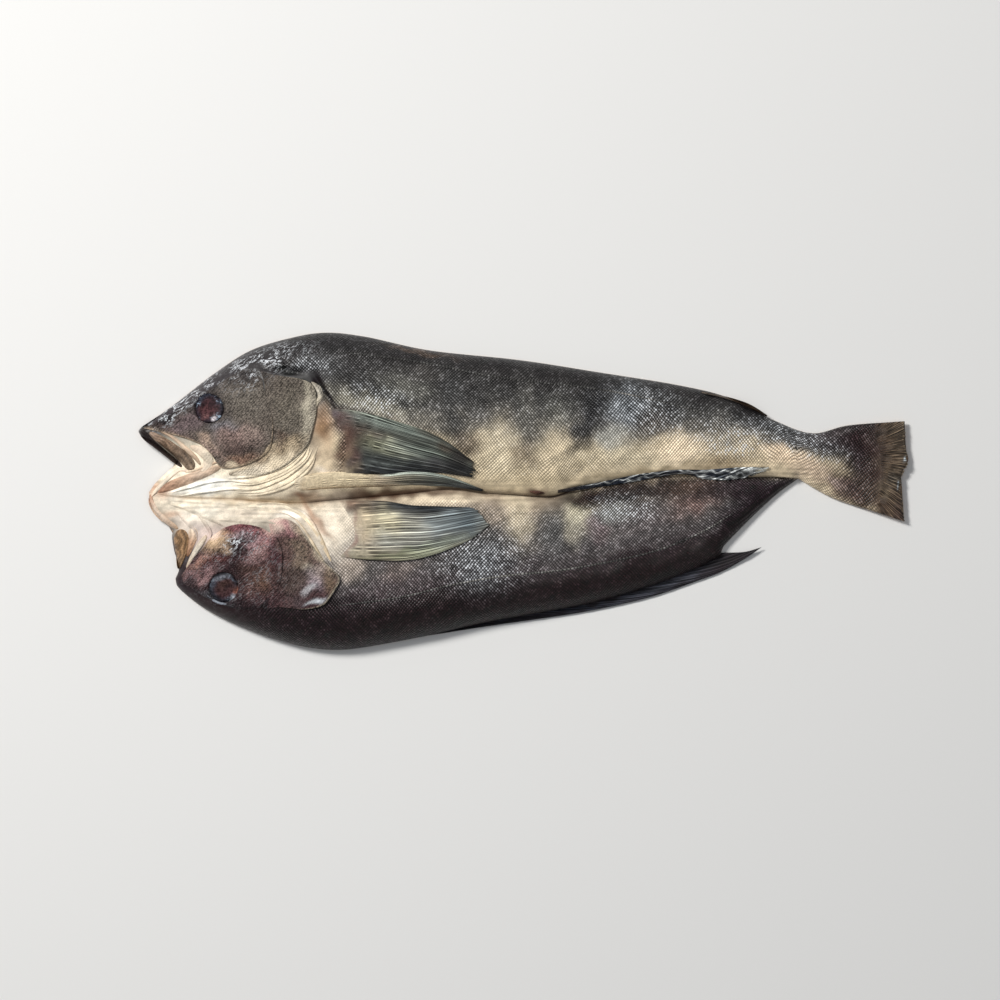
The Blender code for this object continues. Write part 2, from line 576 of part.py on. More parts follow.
def lens(centre):
    """An eye: a lens, flat below and domed above, leaning with the skin and clear of its socket all round."""
    level, slope = EYE_PLANES[centre]
    floor = EYE_GAP - EYE_DEPTH
    rings = [(EYE_RADIUS - LENS_BEVEL, floor), (EYE_RADIUS, floor + LENS_BEVEL), (EYE_RADIUS, -LENS_SHOULDER)]
    rings += [(share * EYE_RADIUS, rise * EYE_DOME) for share, rise in LENS_DOME]
    sides = EYE_SIDES
    turn = np.linspace(0, 2 * np.pi, sides, endpoint=False)
    vertices = [np.array([[0, 0, floor]])]
    for radius, z in rings:
        vertices.append(np.column_stack([radius * np.cos(turn), radius * np.sin(turn), np.full(sides, z)]))
    vertices.append(np.array([[0, 0, EYE_DOME]]))
    vertices = np.vstack(vertices)
    vertices[:, 2] += level + vertices[:, :2] @ slope
    vertices[:, :2] += centre
    faces = []
    last = 1 + len(rings) * sides
    for k in range(sides):
        n = (k + 1) % sides
        faces.append((0, 1 + n, 1 + k))
        faces.append((last, last - sides + k, last - sides + n))
        for r in range(len(rings) - 1):
            a = 1 + r * sides
            faces.append((a + k, a + n, a + sides + n, a + sides + k))
    return vertices * MM, faces


def material(name, color, roughness):
    """A plain finish of one colour."""
    made = bpy.data.materials.new(name)
    made.use_nodes = True
    shader = made.node_tree.nodes["Principled BSDF"]
    shader.inputs["Base Color"].default_value = (*color, 1.0)
    shader.inputs["Roughness"].default_value = roughness
    shader.inputs["Metallic"].default_value = 0.0
    return made


def add(name, vertices, faces, finish, smooth_angle):
    """One named object from its corners and faces."""
    mesh = bpy.data.meshes.new(name)
    mesh.from_pydata([tuple(v) for v in vertices], [], faces)
    mesh.validate()
    mesh.shade_smooth()
    mesh.set_sharp_from_angle(angle=smooth_angle)
    mesh.materials.append(finish)
    made = bpy.data.objects.new(name, mesh)
    bpy.context.scene.collection.objects.link(made)
    return made


for old in list(bpy.data.objects):
    bpy.data.objects.remove(old)

skin = material("skin", (0.10, 0.09, 0.08), 0.42)
wet_eye = material("eye", (0.03, 0.012, 0.014), 0.12)
fish_vertices, fish_faces = fish_solid()
add("fish", fish_vertices, fish_faces, skin, np.radians(50))
for eye_name, eye_centre in (("eye_upper", UPPER_EYE), ("eye_lower", LOWER_EYE)):
    eye_vertices, eye_faces = lens(eye_centre)
    add(eye_name, eye_vertices, eye_faces, wet_eye, np.radians(60))
print("fish triangles", len(fish_faces))
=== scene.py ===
# %% [markdown]
# # A half-dried atka mackerel, skin side up
# A whole fish is split along its back, opened flat like a book and dried until the skin turns leathery. The
# belly is the fold in the middle, so both halves of the head look up and the mouth gapes at the left end.
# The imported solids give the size. Every surface here is a sheet over the fish's plan: a height for each
# point (x, y), with the gill covers, fins and jaw bones as thin closed skins of their own that lie on it.

# %% The frame
import bpy
import numpy as np
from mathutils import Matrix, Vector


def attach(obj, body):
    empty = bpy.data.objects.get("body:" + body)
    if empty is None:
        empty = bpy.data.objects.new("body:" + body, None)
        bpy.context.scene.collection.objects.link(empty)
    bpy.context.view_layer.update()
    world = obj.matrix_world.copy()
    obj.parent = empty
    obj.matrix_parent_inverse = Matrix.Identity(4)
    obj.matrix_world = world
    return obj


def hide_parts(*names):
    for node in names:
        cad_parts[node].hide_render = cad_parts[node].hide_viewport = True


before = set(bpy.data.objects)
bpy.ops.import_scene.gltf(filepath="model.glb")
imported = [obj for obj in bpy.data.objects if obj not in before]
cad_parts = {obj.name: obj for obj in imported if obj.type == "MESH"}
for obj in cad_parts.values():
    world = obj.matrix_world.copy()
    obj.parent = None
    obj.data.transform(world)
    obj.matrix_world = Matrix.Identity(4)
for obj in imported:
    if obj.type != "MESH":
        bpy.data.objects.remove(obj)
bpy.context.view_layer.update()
MM = 0.001

# %% [markdown]
# ## Camera and light
# The fish is seen from straight above, and the light is a soft window from the upper left, a weak lamp
# overhead and a pale room round them. A short lens close by would show the whole fish too, but a long one
# keeps the plan free of perspective, so a point can be placed by its millimetres alone.

# %% Camera and lights
EYE_HEIGHT = 3.0
SKIN_LEVEL = 0.01  # the height at which the view's width is measured
SEEN_WIDTH = 0.494
SENSOR = 36.0
VIEW_CENTRE = (-0.0116, -0.0044)
scene = bpy.context.scene


def put(name, data, place=(0, 0, 0)):
    """An object with this data, linked into the scene."""
    made = bpy.data.objects.new(name, data)
    made.location = place
    scene.collection.objects.link(made)
    return made


camera = put("camera", bpy.data.cameras.new("camera"), (*VIEW_CENTRE, EYE_HEIGHT))
camera.data.sensor_width = SENSOR
camera.data.lens = SENSOR * (EYE_HEIGHT - SKIN_LEVEL) / SEEN_WIDTH
camera.data.clip_end = 20.0
scene.camera = camera
scene.view_settings.view_transform = "Standard"
print("a lens of", round(camera.data.lens), "mm,", EYE_HEIGHT, "m above the floor")


def lamp(name, place, size, power, tone):
    """A square area light at place, turned to face the fish."""
    light = bpy.data.lights.new(name, "AREA")
    light.size = size
    light.energy = power
    light.color = tone
    put(name, light, place).rotation_euler = (-Vector(place)).to_track_quat("-Z", "Y").to_euler()


lamp("window", (-1.0, 0.85, 1.5), 0.45, 40.0, (1.0, 0.98, 0.95))
lamp("ceiling", (0.3, 0.1, 2.2), 2.0, 9.0, (0.94, 0.97, 1.0))

world = bpy.data.worlds.new("room")
world.use_nodes = True
room_light = world.node_tree.nodes["Background"].inputs
room_light["Color"].default_value = (0.93, 0.95, 1.0, 1.0)
room_light["Strength"].default_value = 0.2
scene.world = world

# %% [markdown]
# ## Curves and outlines
# A fish outline is all soft bends with a few sharp corners, where one stroke ends and the next begins. Curve
# objects with handles could draw it too. Here each stroke is a handful of points with a smooth cubic through
# them, because points that the line passes through are easy to read and to move. The strokes repeat those of
# the solids, in millimetres.


# %% Smooth strokes
def smooth_curve(points, step=0.5):
    """Cubic pieces through the points; the slope at a point
    is half the way from its one neighbour to the other."""
    p = np.array(points, float)
    ends = np.vstack([2 * p[0] - p[1], p, 2 * p[-1] - p[-2]])
    pieces = []
    for a, b, c, d in zip(ends, ends[1:], ends[2:], ends[3:]):
        count = max(2, int(np.ceil(np.linalg.norm(c - b) / step)))
        t = np.linspace(0, 1, count, endpoint=False)[:, None]
        into = (c - a) / 2
        out = (d - b) / 2
        square, cube = 3 * (c - b) - 2 * into - out, 2 * (b - c) + into + out
        pieces.append(b + into * t + square * t**2 + cube * t**3)
    return np.vstack(pieces + [p[-1:]])


def at_shares(line, shares):
    """The points of a line at the given shares of its length."""
    reach = np.concatenate([[0], np.cumsum(np.linalg.norm(np.diff(line, axis=0), axis=1))])
    want = np.asarray(shares) * reach[-1]
    return np.stack([np.interp(want, reach, column) for column in line.T], -1)


def read_y(x, line):
    """The y of a line that runs along the fish."""
    order = np.argsort(line[:, 0])
    return np.interp(x, line[order, 0], line[order, 1])


def soft_step(t):
    """0 below 0, 1 above 1, and 3t^2 - 2t^3 between."""
    t = np.clip(t, 0, 1)
    return t * t * (3 - 2 * t)


def ramp(x, start, length):
    """0 up to start, 1 past start + length, and soft between; a length below 0 runs the other way."""
    return soft_step((x - start) / length)


def bell(t):
    """1 at 0 and falling off on both sides: exp(-t^2)."""
    return np.exp(-(t**2))


def along(x, stations):
    """A value read along the fish: a smooth cubic through (x, value) stations, level beyond the ends."""
    at, value = np.array(stations, float).T
    slope = np.gradient(value, at)
    i = np.clip(np.searchsorted(at, x) - 1, 0, len(at) - 2)
    width = at[i + 1] - at[i]
    t = np.clip((x - at[i]) / width, 0, 1)
    return (
        value[i] * (1 + 2 * t) * (1 - t) ** 2 + value[i + 1] * t * t * (3 - 2 * t)
        + width * (slope[i] * t * (1 - t) ** 2 - slope[i + 1] * t * t * (1 - t))
    )


# %% The strokes of the outline
UPPER_BACK = smooth_curve([
    (-186.2, 33.1), (-170.7, 44.7), (-152.4, 58.8), (-135.1, 69.7), (-115.3, 75.9), (-98.1, 78.5),
    (-78.3, 76.5), (-46.2, 69.7), (-1.7, 64.9), (37.8, 58.8), (77.3, 52.4), (102.0, 46.2),
    (124.2, 35.1), (143.0, 28.7), (161.3, 32.6), (188.7, 34.6),
])
TAIL_END = smooth_curve([
    (188.7, 34.6), (189.4, 21.2), (190.5, 15.3), (187.2, 8.4), (187.5, 1.0), (188.5, -15.1),
])
TAIL_UNDER = smooth_curve([(188.5, -15.1), (172.7, -9.9), (155.4, -4.4), (145.5, 0.5), (136.1, 6.2)])
CUT_END = smooth_curve([
    (136.1, 6.2), (126.2, -1.0), (115.8, -10.4), (105.5, -20.7), (99.0, -27.7), (97.8, -32.1),
])
DORSAL_TIP = [(97.8, -32.1), (109.4, -30.1), (118.1, -27.7)]
DORSAL_EDGE = [
    (118.1, -27.7), (110.4, -33.1), (98.1, -40.0), (83.7, -45.4), (65.0, -51.9), (46.2, -56.6),
    (27.4, -60.3), (5.7, -63.6), (-19.5, -67.2), (-46.2, -71.4),
]
DORSAL_BASE = smooth_curve([
    (97.8, -32.1), (83.7, -39.2), (65.0, -46.4), (46.2, -52.2), (27.4, -56.8), (5.7, -60.8),
    (-19.5, -65.3), (-46.2, -71.4),
])
LOWER_BACK = smooth_curve([
    (-46.2, -71.4), (-68.4, -75.6), (-88.2, -78.5), (-106.0, -77.6), (-125.2, -72.6), (-144.0, -65.3),
    (-156.8, -58.8), (-165.2, -52.9), (-171.2, -47.4), (-172.4, -43.5),
])
LOWER_MOUTH = smooth_curve([
    (-172.4, -43.5), (-170.6, -37.8), (-172.9, -30.1), (-174.1, -22.5), (-173.2, -19.6),
])
CHIN_UNDER = smooth_curve([(-173.2, -19.6), (-179.1, -14.6), (-183.0, -9.9), (-185.2, -4.4), (-185.4, -0.6)])
CHIN_OVER = smooth_curve([(-185.4, -0.6), (-182.5, 3.7), (-178.1, 8.0), (-174.0, 11.6), (-171.0, 14.5)])
UPPER_LIP = smooth_curve([
    (-171.0, 14.5), (-174.4, 17.6), (-181.8, 22.8), (-188.6, 26.8), (-190.5, 29.6), (-189.0, 31.8),
])
SNOUT_TIP = smooth_curve([(-189.0, 31.8), (-187.4, 31.9), (-186.2, 33.1)])
SEAM = smooth_curve([
    (-185.4, -0.9), (-167.2, -3.2), (-145.0, -3.9), (-130.2, -5.1), (-110.4, -5.7), (-95.6, -4.4),
    (-61.0, -1.3), (-37.3, 1.3), (-20.5, -0.3), (-4.2, -1.3), (13.6, -2.7), (24.0, 0.5), (37.8, 3.1),
    (57.6, 6.2), (74.3, 7.8), (85.7, 7.6), (110.4, 6.9), (136.1, 6.2), (145.5, 0.5), (155.4, -4.4),
    (172.7, -9.9), (190.5, -15.5),
])
LOWER_FAR = np.vstack([CUT_END[::-1], DORSAL_BASE, LOWER_BACK])
STROKES = [
    UPPER_BACK, TAIL_END, TAIL_UNDER, CUT_END, DORSAL_BASE, LOWER_BACK, LOWER_MOUTH, CHIN_UNDER, CHIN_OVER,
    UPPER_LIP, SNOUT_TIP,
]
BODY = np.vstack([points for stroke in STROKES for points in (stroke[:-1:3], stroke[-1:])])
print("outline of", len(BODY), "points, from", BODY.min(0), "to", BODY.max(0))

# %% [markdown]
# ## The height of the skin
# Each half is a long low hump: steep at the fold, highest past its middle, and falling to the cut back, where
# the skin rolls down like a quarter of an ellipse. It could be sculpted by hand, but a formula for the height
# can be asked again anywhere, so each flap and fin can find the skin that it lies on.

# %% Heights
RIM = 1.0  # the skin's own thickness at its cut edge
ROLL = 1.05  # width of the rolled edge, as a share of the height that it rolls down from
UPPER_CREST = [
    (-190, 4.6), (-178, 6.8), (-160, 13.0), (-140, 17.6), (-118, 19.6), (-90, 20.6), (-50, 20.8), (0, 19.4),
    (50, 17.2), (90, 14.6), (120, 12.4), (142, 10.2), (154, 7.0), (166, 3.8), (176, 2.4), (191, 1.6),
]
LOWER_CREST = [
    (-190, 4.4), (-176, 6.6), (-160, 12.2), (-140, 16.6), (-118, 18.8), (-90, 19.6), (-50, 19.2),
    (0, 17.2), (50, 13.6), (80, 10.6), (105, 7.4), (125, 5.2), (140, 4.2),
]
UPPER_SEAM_LEVEL = [
    (-190, 3.6), (-170, 5.8), (-130, 7.0), (-90, 6.6), (-40, 7.4), (10, 7.6), (40, 8.4), (90, 8.0),
    (120, 7.4), (142, 6.4), (160, 3.2), (176, 2.2), (191, 1.6),
]
LOWER_SEAM_LEVEL = [
    (-190, 3.6), (-170, 5.8), (-130, 7.0), (-90, 6.4), (-40, 6.6), (10, 5.6), (60, 4.4), (140, 3.6),
]


def distance_to(x, y, line, block=20000):
    """The distance from each point to a line of short straight
    runs, worked out for a block of points at a time."""
    a = line[:-1].astype(np.float32)
    run = np.diff(line, axis=0).astype(np.float32)
    size = np.maximum((run**2).sum(1), 1e-9)
    px, py = x.ravel().astype(np.float32), y.ravel().astype(np.float32)
    away = np.empty(px.size)
    for start in range(0, px.size, block):
        part = slice(start, start + block)
        dx, dy = px[part, None] - a[:, 0], py[part, None] - a[:, 1]
        t = np.clip((dx * run[:, 0] + dy * run[:, 1]) / size, 0, 1)
        away[part] = np.sqrt(((dx - t * run[:, 0]) ** 2 + (dy - t * run[:, 1]) ** 2).min(1))
    return away.reshape(x.shape)


def ripples(x, y, seed, wave, turn=0.0, spread=180.0, count=12):
    """Uneven relief of about one wavelength: plane waves in
    seeded directions, added up to a size of about 1."""
    rng = np.random.default_rng(seed)
    total = np.zeros_like(x)
    for _ in range(count):
        angle = np.radians(turn + rng.uniform(-spread, spread) / 2)
        k = 2 * np.pi / (wave * rng.uniform(0.7, 1.4))
        total += np.sin(k * (x * np.cos(angle) + y * np.sin(angle)) + rng.uniform(0, 2 * np.pi))
    return total / np.sqrt(count / 2)


def blob(x, y, at_x, at_y, wide, high, turn=0.0):
    """1 inside an ellipse with a soft edge, 0 outside: the
    exponential of minus the reach to the power 2.8."""
    c, s = np.cos(np.radians(turn)), np.sin(np.radians(turn))
    dx, dy = x - at_x, y - at_y
    return np.exp(-((((dx * c + dy * s) / wide) ** 2 + ((dy * c - dx * s) / high) ** 2) ** 1.4))


def underside(x, y):
    """The ground, but for the curled tail, the lips and the free tip of the fin."""
    tail = 2.6 * ramp(x, 150, 40)
    lips = 2.4 * ramp(x, -170, -20)
    fin_tip = 1.4 * ramp(x, 98, 20) * ramp(y, -22, -4)
    return tail + lips + fin_tip


UPPER_EYE = (-155.1, 41.0)
LOWER_EYE = (-148.0, -47.7)
EYE_RADIUS = 8.0
SOCKET = (3.0, 6.2, 1.9)  # depth of an eye's socket, the radius of its floor and the width of its wall
SOCKET_RING = (0.5, 9.4, 1.3)  # height, radius and width of the swollen ring round it
CREASE = (1.6, 2.2)  # depth of the crease at the fold, and how far it reaches
LIP_WIDTH = 3.2  # how far the upper half's edge bends down over the lower one, behind the vent


def wrinkles(x, y):
    """Dried relief of the skin: slow waves all over, pinched folds on the snout and the nape."""
    slow = 0.13 * ripples(x, y, 1, 24) + 0.07 * ripples(x, y, 2, 8)
    snout = blob(x, y, -167.2, 44.0, 21.7, 6.9, 33) + blob(x, y, -179.6, 36.1, 9.9, 5.9, 20)
    nape = blob(x, y, -125.2, 63.7, 17.8, 5.9, 12)
    pinched = 0.5 * (np.abs(ripples(x, y, 3, 7, 35, 70)) - 0.6)
    creased = 0.45 * (np.abs(ripples(x, y, 4, 6, 70, 110)) - 0.6)
    lower_head = blob(x, y, -147.5, -39.0, 29.6, 12.8, -12)
    slit = blob(x, y, -116.8, 59.3, 9.4, 1.7, -8) + blob(x, y, -98.6, 49.4, 9.9, 1.5, -58)
    return slow + pinched * snout + creased * (nape + 0.45 * lower_head) - 1.3 * slit


def share_across(x, y, upper):
    """The fold's y at x, and how far (x, y) lies on the way from there to the back, 0 to 1."""
    seam = read_y(x, SEAM)
    width = read_y(x, UPPER_BACK if upper else LOWER_FAR) - seam
    return seam, np.clip((y - seam) / np.where(np.abs(width) < 1, 1, width), 0, 1)


def half_height(x, y, upper):
    """The top of one half: seam level + (crest - seam level) * hump, less the crease at the fold, rolled down
    to the outline as RIM + (height - RIM) * sqrt(1 - bend^2)."""
    seam, t = share_across(x, y, upper)
    crest_at, back_drop = (0.52, 0.22) if upper else (0.55, 0.25)
    rise = np.sin(np.pi / 2 * np.clip(t / crest_at, 0, 1))
    fall = np.clip((t - crest_at) / (1 - crest_at), 0, 1) ** 2
    level = along(x, UPPER_SEAM_LEVEL if upper else LOWER_SEAM_LEVEL)
    crest = along(x, UPPER_CREST if upper else LOWER_CREST)
    deep = level + (crest - level) * (rise - back_drop * fall)
    deep -= CREASE[0] * np.exp(-np.abs(y - seam) / CREASE[1]) * ramp(x, -176, 12) * ramp(x, 60, -50)
    edge = np.maximum(distance_to(x, y, BODY) - 0.05, 0)
    deep += wrinkles(x, y) * ramp(edge, 1, 5) * ramp(x, 168, -20)
    for cx, cy in (UPPER_EYE, LOWER_EYE):
        away = np.hypot(x - cx, y - cy)
        deep += SOCKET_RING[0] * bell((away - SOCKET_RING[1]) / SOCKET_RING[2])
        deep -= SOCKET[0] * (1 - ramp(away, *SOCKET[1:]))
    if upper:
        lip = ramp(x, 2, 22) * ramp(x, 134, -18)
        bend = np.clip(1 - (y - seam) / LIP_WIDTH, 0, 1)
        low = along(x, LOWER_SEAM_LEVEL) - 0.8
        deep = deep + lip * (low - deep) * (1 - np.sqrt(1 - bend**2))
    else:
        deep -= np.clip((y - seam) / 2.0, 0, 1) * 0.9
    bend = np.clip(1 - edge / np.maximum(ROLL * deep, 0.5), 0, 1)
    return underside(x, y) + np.maximum(RIM + (deep - RIM) * np.sqrt(1 - bend**2), RIM)


def skin_height(x, y):
    """The top of whichever half lies at (x, y)."""
    return np.where(y >= read_y(x, SEAM), half_height(x, y, True), half_height(x, y, False))


shoulders = skin_height(np.array([-90.0, -90.0]), np.array([40.0, -40.0]))
print("the skin at the two shoulders, in mm", shoulders.round(1))


# %% [markdown]
# ## Colour
# The real colours are soft patches that run into each other: a black back, a grey flank, a cream belly, dark
# bars across, pink and violet bruises. They could be painted on by hand. A painter lays one patch over the
# other, and so does this: a colour that fades from fold to back, then soft ellipses on top, kept as a short
# list that can be read and changed. The result is one colour for each vertex.
# Others are painted highlights and sheen, on the flanks, the snout, the gill covers and the eyes.
# Some patches are painted shade: along the crease of the fold, in the gill slit, under overhanging edges and
# fins.


# %% Laying colours
def linear(colour):
    """A screen colour, 0 to 255, as the linear light that the shader takes."""
    c = np.asarray(colour, float) / 255
    return np.where(c <= 0.04045, c / 12.92, ((c + 0.055) / 1.055) ** 2.4)


def fade(t, stops):
    """A colour read at t between (t, colour) stops."""
    at = [stop for stop, _ in stops]
    colours = linear([colour for _, colour in stops])
    return np.stack([np.interp(t, at, colours[:, k]) for k in range(3)], -1)


def over(ground, colour, cover):
    """The colour laid over the ground by a cover from 0 to 1."""
    return ground + (linear(colour) - ground) * cover[..., None]


def lay(ground, x, y, patches):
    """The patches laid over the ground in turn, each (x, y, half width, half height, turn, colour, strength).
    Their edges wander, as x and y are first shifted by a slow ripple."""
    x, y = x + 0.8 * ripples(x, y, 51, 12), y + 0.8 * ripples(x, y, 52, 12)
    for *place, colour, strength in patches:
        ground = over(ground, colour, strength * blob(x, y, *place))
    return ground


# %% Patches of the body
UPPER_STOPS = [
    (0.0, (196, 180, 152)), (0.28, (196, 181, 153)), (0.44, (120, 114, 103)), (0.58, (86, 84, 81)),
    (0.72, (56, 55, 54)), (0.88, (46, 44, 44)), (1.0, (33, 31, 32)),
]
LOWER_STOPS = [
    (0.0, (170, 155, 134)), (0.10, (150, 138, 122)), (0.25, (104, 99, 95)), (0.50, (82, 78, 78)),
    (0.63, (68, 61, 62)), (0.67, (46, 38, 40)), (0.75, (41, 33, 34)), (1.0, (36, 27, 28)),
]
UPPER_PATCHES = [
    # shoulder and the band above the fin
    # painted glints on the shoulder, as a grey wash
    (-104.5, 61.8, 14.8, 5.9, 0, (92, 92, 93), 0.5),
    (-85.7, 72.6, 19.8, 4.4, -4, (44, 43, 44), 0.6),
    (-75.8, 43.0, 21.7, 4.4, -14, (158, 153, 136), 0.7),
    (-59.0, 50.9, 13.8, 6.4, -10, (112, 111, 104), 0.7),
    (-49.2, 57.8, 10.9, 4.0, -8, (84, 81, 78), 0.5),
    (-51.1, 69.2, 16.8, 1.5, -10, (80, 62, 48), 0.6),
    # the dark bars that run down from the back, and the cream windows between them
    (-34.8, 39.0, 6.4, 19.8, 6, (62, 62, 62), 0.8),
    (-27.4, 21.7, 7.4, 6.9, 0, (96, 84, 74), 0.7),
    (-11.6, 16.3, 8.4, 16.8, 0, (214, 200, 172), 0.85),
    (1.7, 31.1, 5.9, 18.8, 0, (98, 96, 90), 0.7),
    (0.7, 18.3, 5.9, 6.9, 0, (130, 116, 98), 0.6),
    (18.0, 17.3, 8.9, 14.8, 0, (208, 192, 163), 0.8),
    (17.0, 37.0, 7.9, 8.9, 0, (112, 112, 105), 0.5),
    (32.4, 37.0, 6.4, 22.2, -22, (40, 40, 42), 0.95),
    # a silver sheen high on the flank: painted highlight
    (50.6, 41.0, 8.4, 11.9, -14, (124, 129, 134), 0.75),
    (43.7, 25.2, 7.9, 6.9, 0, (170, 170, 162), 0.6),
    (50.1, 17.3, 21.7, 4.9, 0, (200, 188, 162), 0.7),
    (65.0, 33.1, 7.4, 6.4, 0, (108, 98, 90), 0.5),
    (77.3, 19.3, 11.9, 8.9, 0, (238, 218, 188), 0.85),
    (99.5, 26.2, 13.8, 5.9, 0, (158, 150, 136), 0.6),
    # painted shade: a brown band above the anal fin
    (98.1, 13.8, 12.8, 3.5, 2, (146, 130, 106), 0.85),
    (129.7, 17.8, 12.8, 4.9, -14, (222, 198, 170), 0.8),
    (144.0, 10.4, 9.9, 5.4, -24, (190, 168, 148), 0.7),
    (159.3, 1.5, 10.9, 5.9, -24, (104, 86, 79), 0.9),
    (155.4, 4.4, 4.9, 2.0, -24, (168, 148, 140), 0.6),
    (165.2, -1.5, 6.4, 5.4, -20, (88, 73, 68), 0.85),
    # smooth belly skin, and painted olive shade where its edge rolls down over the fold
    (-1.7, 4.9, 27.7, 5.4, 0, (196, 180, 150), 0.7),
    (62.5, 9.9, 37.5, 2.0, 6, (126, 112, 88), 0.6),
    (6.7, -0.5, 4.4, 2.0, 0, (66, 44, 40), 0.95),
    # foot of the tail and the tail fin
    (152.4, 24.7, 13.8, 4.9, -4, (62, 50, 52), 0.8),
    (168.2, 14.3, 12.8, 21.7, 0, (50, 36, 37), 1.0),
    (189.9, 12.3, 15.8, 31.6, 0, (80, 66, 54), 1.0),
    (173.1, 6.4, 5.9, 11.9, 0, (52, 39, 36), 0.85),
    (164.7, 20.7, 5.4, 5.9, 0, (38, 26, 28), 0.7),
    (170.2, -4.4, 7.9, 4.4, -20, (70, 54, 48), 0.6),
    (178.1, -8.4, 12.8, 5.9, -22, (78, 64, 54), 0.9),
    # the gill slit behind the cover, dark with painted shade
    (-98.1, 49.4, 11.4, 1.7, -55, (30, 26, 30), 0.9),
    (-116.8, 60.8, 7.9, 1.3, -4, (20, 18, 20), 0.9),
    # bare skin under the root of the fin
    (-97.6, 22.2, 5.9, 14.8, 4, (206, 184, 154), 0.95),
    (-98.6, 32.6, 4.9, 8.4, 10, (132, 104, 82), 0.9),
    (-90.2, 35.1, 4.0, 5.9, 10, (80, 60, 57), 0.92),
    (-86.2, 24.2, 4.4, 10.9, 0, (90, 66, 58), 0.92),
    (-90.2, 15.3, 4.4, 5.9, -8, (80, 54, 42), 0.92),
    (-98.1, 31.1, 3.0, 4.9, 0, (122, 96, 70), 0.7),
    # painted shadow on the skin beside the edge of the gill cover
    (-102.5, 14.3, 1.5, 5.9, -20, (130, 98, 72), 0.7),
    (-104.5, 24.2, 3.0, 13.8, 8, (112, 92, 76), 0.6),
    (-90.6, 4.9, 21.7, 4.0, 0, (214, 198, 166), 0.9),
]
HEAD_UNDER_PATCHES = [
    # the cream skin of the throat, from the mouth back to the fold of the gills
    (-152.4, 5.4, 47.4, 19.8, 0, (228, 217, 196), 1.0),
    (-157.8, 2.0, 15.8, 4.4, 10, (244, 244, 238), 0.9),
    (-156.4, 19.3, 4.9, 4.9, 0, (240, 230, 208), 0.9),
    (-120.3, 10.4, 16.8, 6.9, 18, (232, 216, 188), 0.8),
    (-140.0, 13.3, 14.8, 4.0, -12, (216, 204, 178), 0.7),
    # a brown line of painted shade in the crease of the seam
    (-129.2, -4.9, 21.7, 1.5, 0, (150, 130, 100), 0.7),
    (-180.6, 0.5, 5.9, 4.4, 0, (158, 112, 88), 0.7),
    (-140.0, -11.4, 31.6, 5.4, -6, (196, 186, 170), 0.9),
    (-157.8, -10.4, 9.9, 3.5, 0, (204, 200, 188), 0.5),
    (-153.9, -23.2, 10.9, 6.4, 0, (214, 190, 180), 0.6),
    (-168.7, -15.3, 6.9, 4.0, -30, (226, 212, 198), 0.6),
    # painted shade: where the seam meets the gills, and in the crease under the belly fin
    (-108.9, -2.5, 6.4, 2.0, 0, (92, 64, 50), 0.85),
    (-71.9, -1.5, 48.4, 3.0, 2, (70, 50, 40), 0.92),
    (-101.5, -4.4, 7.9, 3.0, 0, (132, 102, 72), 0.75),
    (-114.4, -11.9, 7.4, 3.0, 0, (250, 242, 230), 0.85),
    (-160.8, -14.3, 5.9, 2.0, -14, (232, 220, 204), 0.5),
    (-97.6, 9.9, 4.0, 2.0, 0, (236, 222, 204), 0.8),
    (-95.6, -17.3, 12.8, 14.8, 0, (216, 205, 187), 0.95),
    # painted shadow beside the strand along the gill cover's edge
    (-103.5, -13.3, 1.7, 12.8, 38, (138, 100, 76), 0.7),
]
LOWER_PATCHES = [
    (-43.2, -4.0, 20.7, 3.0, 0, (224, 208, 182), 0.9),
    (-13.6, -10.4, 10.9, 6.9, 0, (138, 126, 114), 0.6),
    (-2.7, -10.4, 6.4, 15.8, 8, (190, 178, 154), 0.7),
    (14.6, -18.3, 6.9, 12.8, 0, (80, 80, 80), 0.85),
    (26.9, -8.4, 6.9, 9.9, 0, (192, 186, 162), 0.75),
    (24.0, -21.2, 3.5, 6.4, 0, (150, 144, 128), 0.6),
    # a speckled sheen on the lower flank: painted highlight
    (45.2, -9.4, 8.4, 6.4, 0, (152, 155, 152), 0.65),
    (35.3, -17.3, 4.9, 4.9, 0, (128, 112, 116), 0.5),
    (57.6, -14.3, 15.8, 8.9, 14, (96, 87, 88), 0.6),
    (38.8, -21.2, 4.0, 4.9, -10, (108, 92, 94), 0.5),
    (84.7, -4.4, 13.8, 7.4, 20, (114, 88, 82), 0.7),
    # the dark band along the fold, under the upper half's lip and the anal fin: painted shadow over the
    # skin's own dark brown
    (65.0, 0.0, 45.4, 5.9, 5, (52, 42, 39), 0.95),
    (31.9, -3.5, 14.8, 4.4, 8, (34, 26, 24), 0.98),
    (57.6, 1.5, 29.6, 3.5, 7, (40, 31, 28), 0.85),
    (42.7, -3.0, 12.8, 4.0, 8, (44, 34, 30), 0.8),
    (112.9, 2.5, 24.7, 5.4, 2, (14, 8, 10), 0.97),
    (82.3, 2.0, 10.9, 3.0, 6, (84, 66, 56), 0.7),
    (109.4, 0.5, 19.8, 4.9, 0, (52, 42, 45), 0.8),
    (112.9, -6.4, 17.8, 12.8, 42, (36, 28, 32), 0.85),
    (-21.5, -34.1, 9.4, 10.9, 0, (112, 116, 120), 0.5),
    (-85.7, -37.0, 7.4, 6.9, 0, (178, 164, 150), 0.6),
    (-61.0, -39.0, 10.9, 4.4, 20, (140, 126, 118), 0.5),
    (-61.0, -46.4, 20.7, 6.9, 8, (84, 73, 75), 0.5),
]
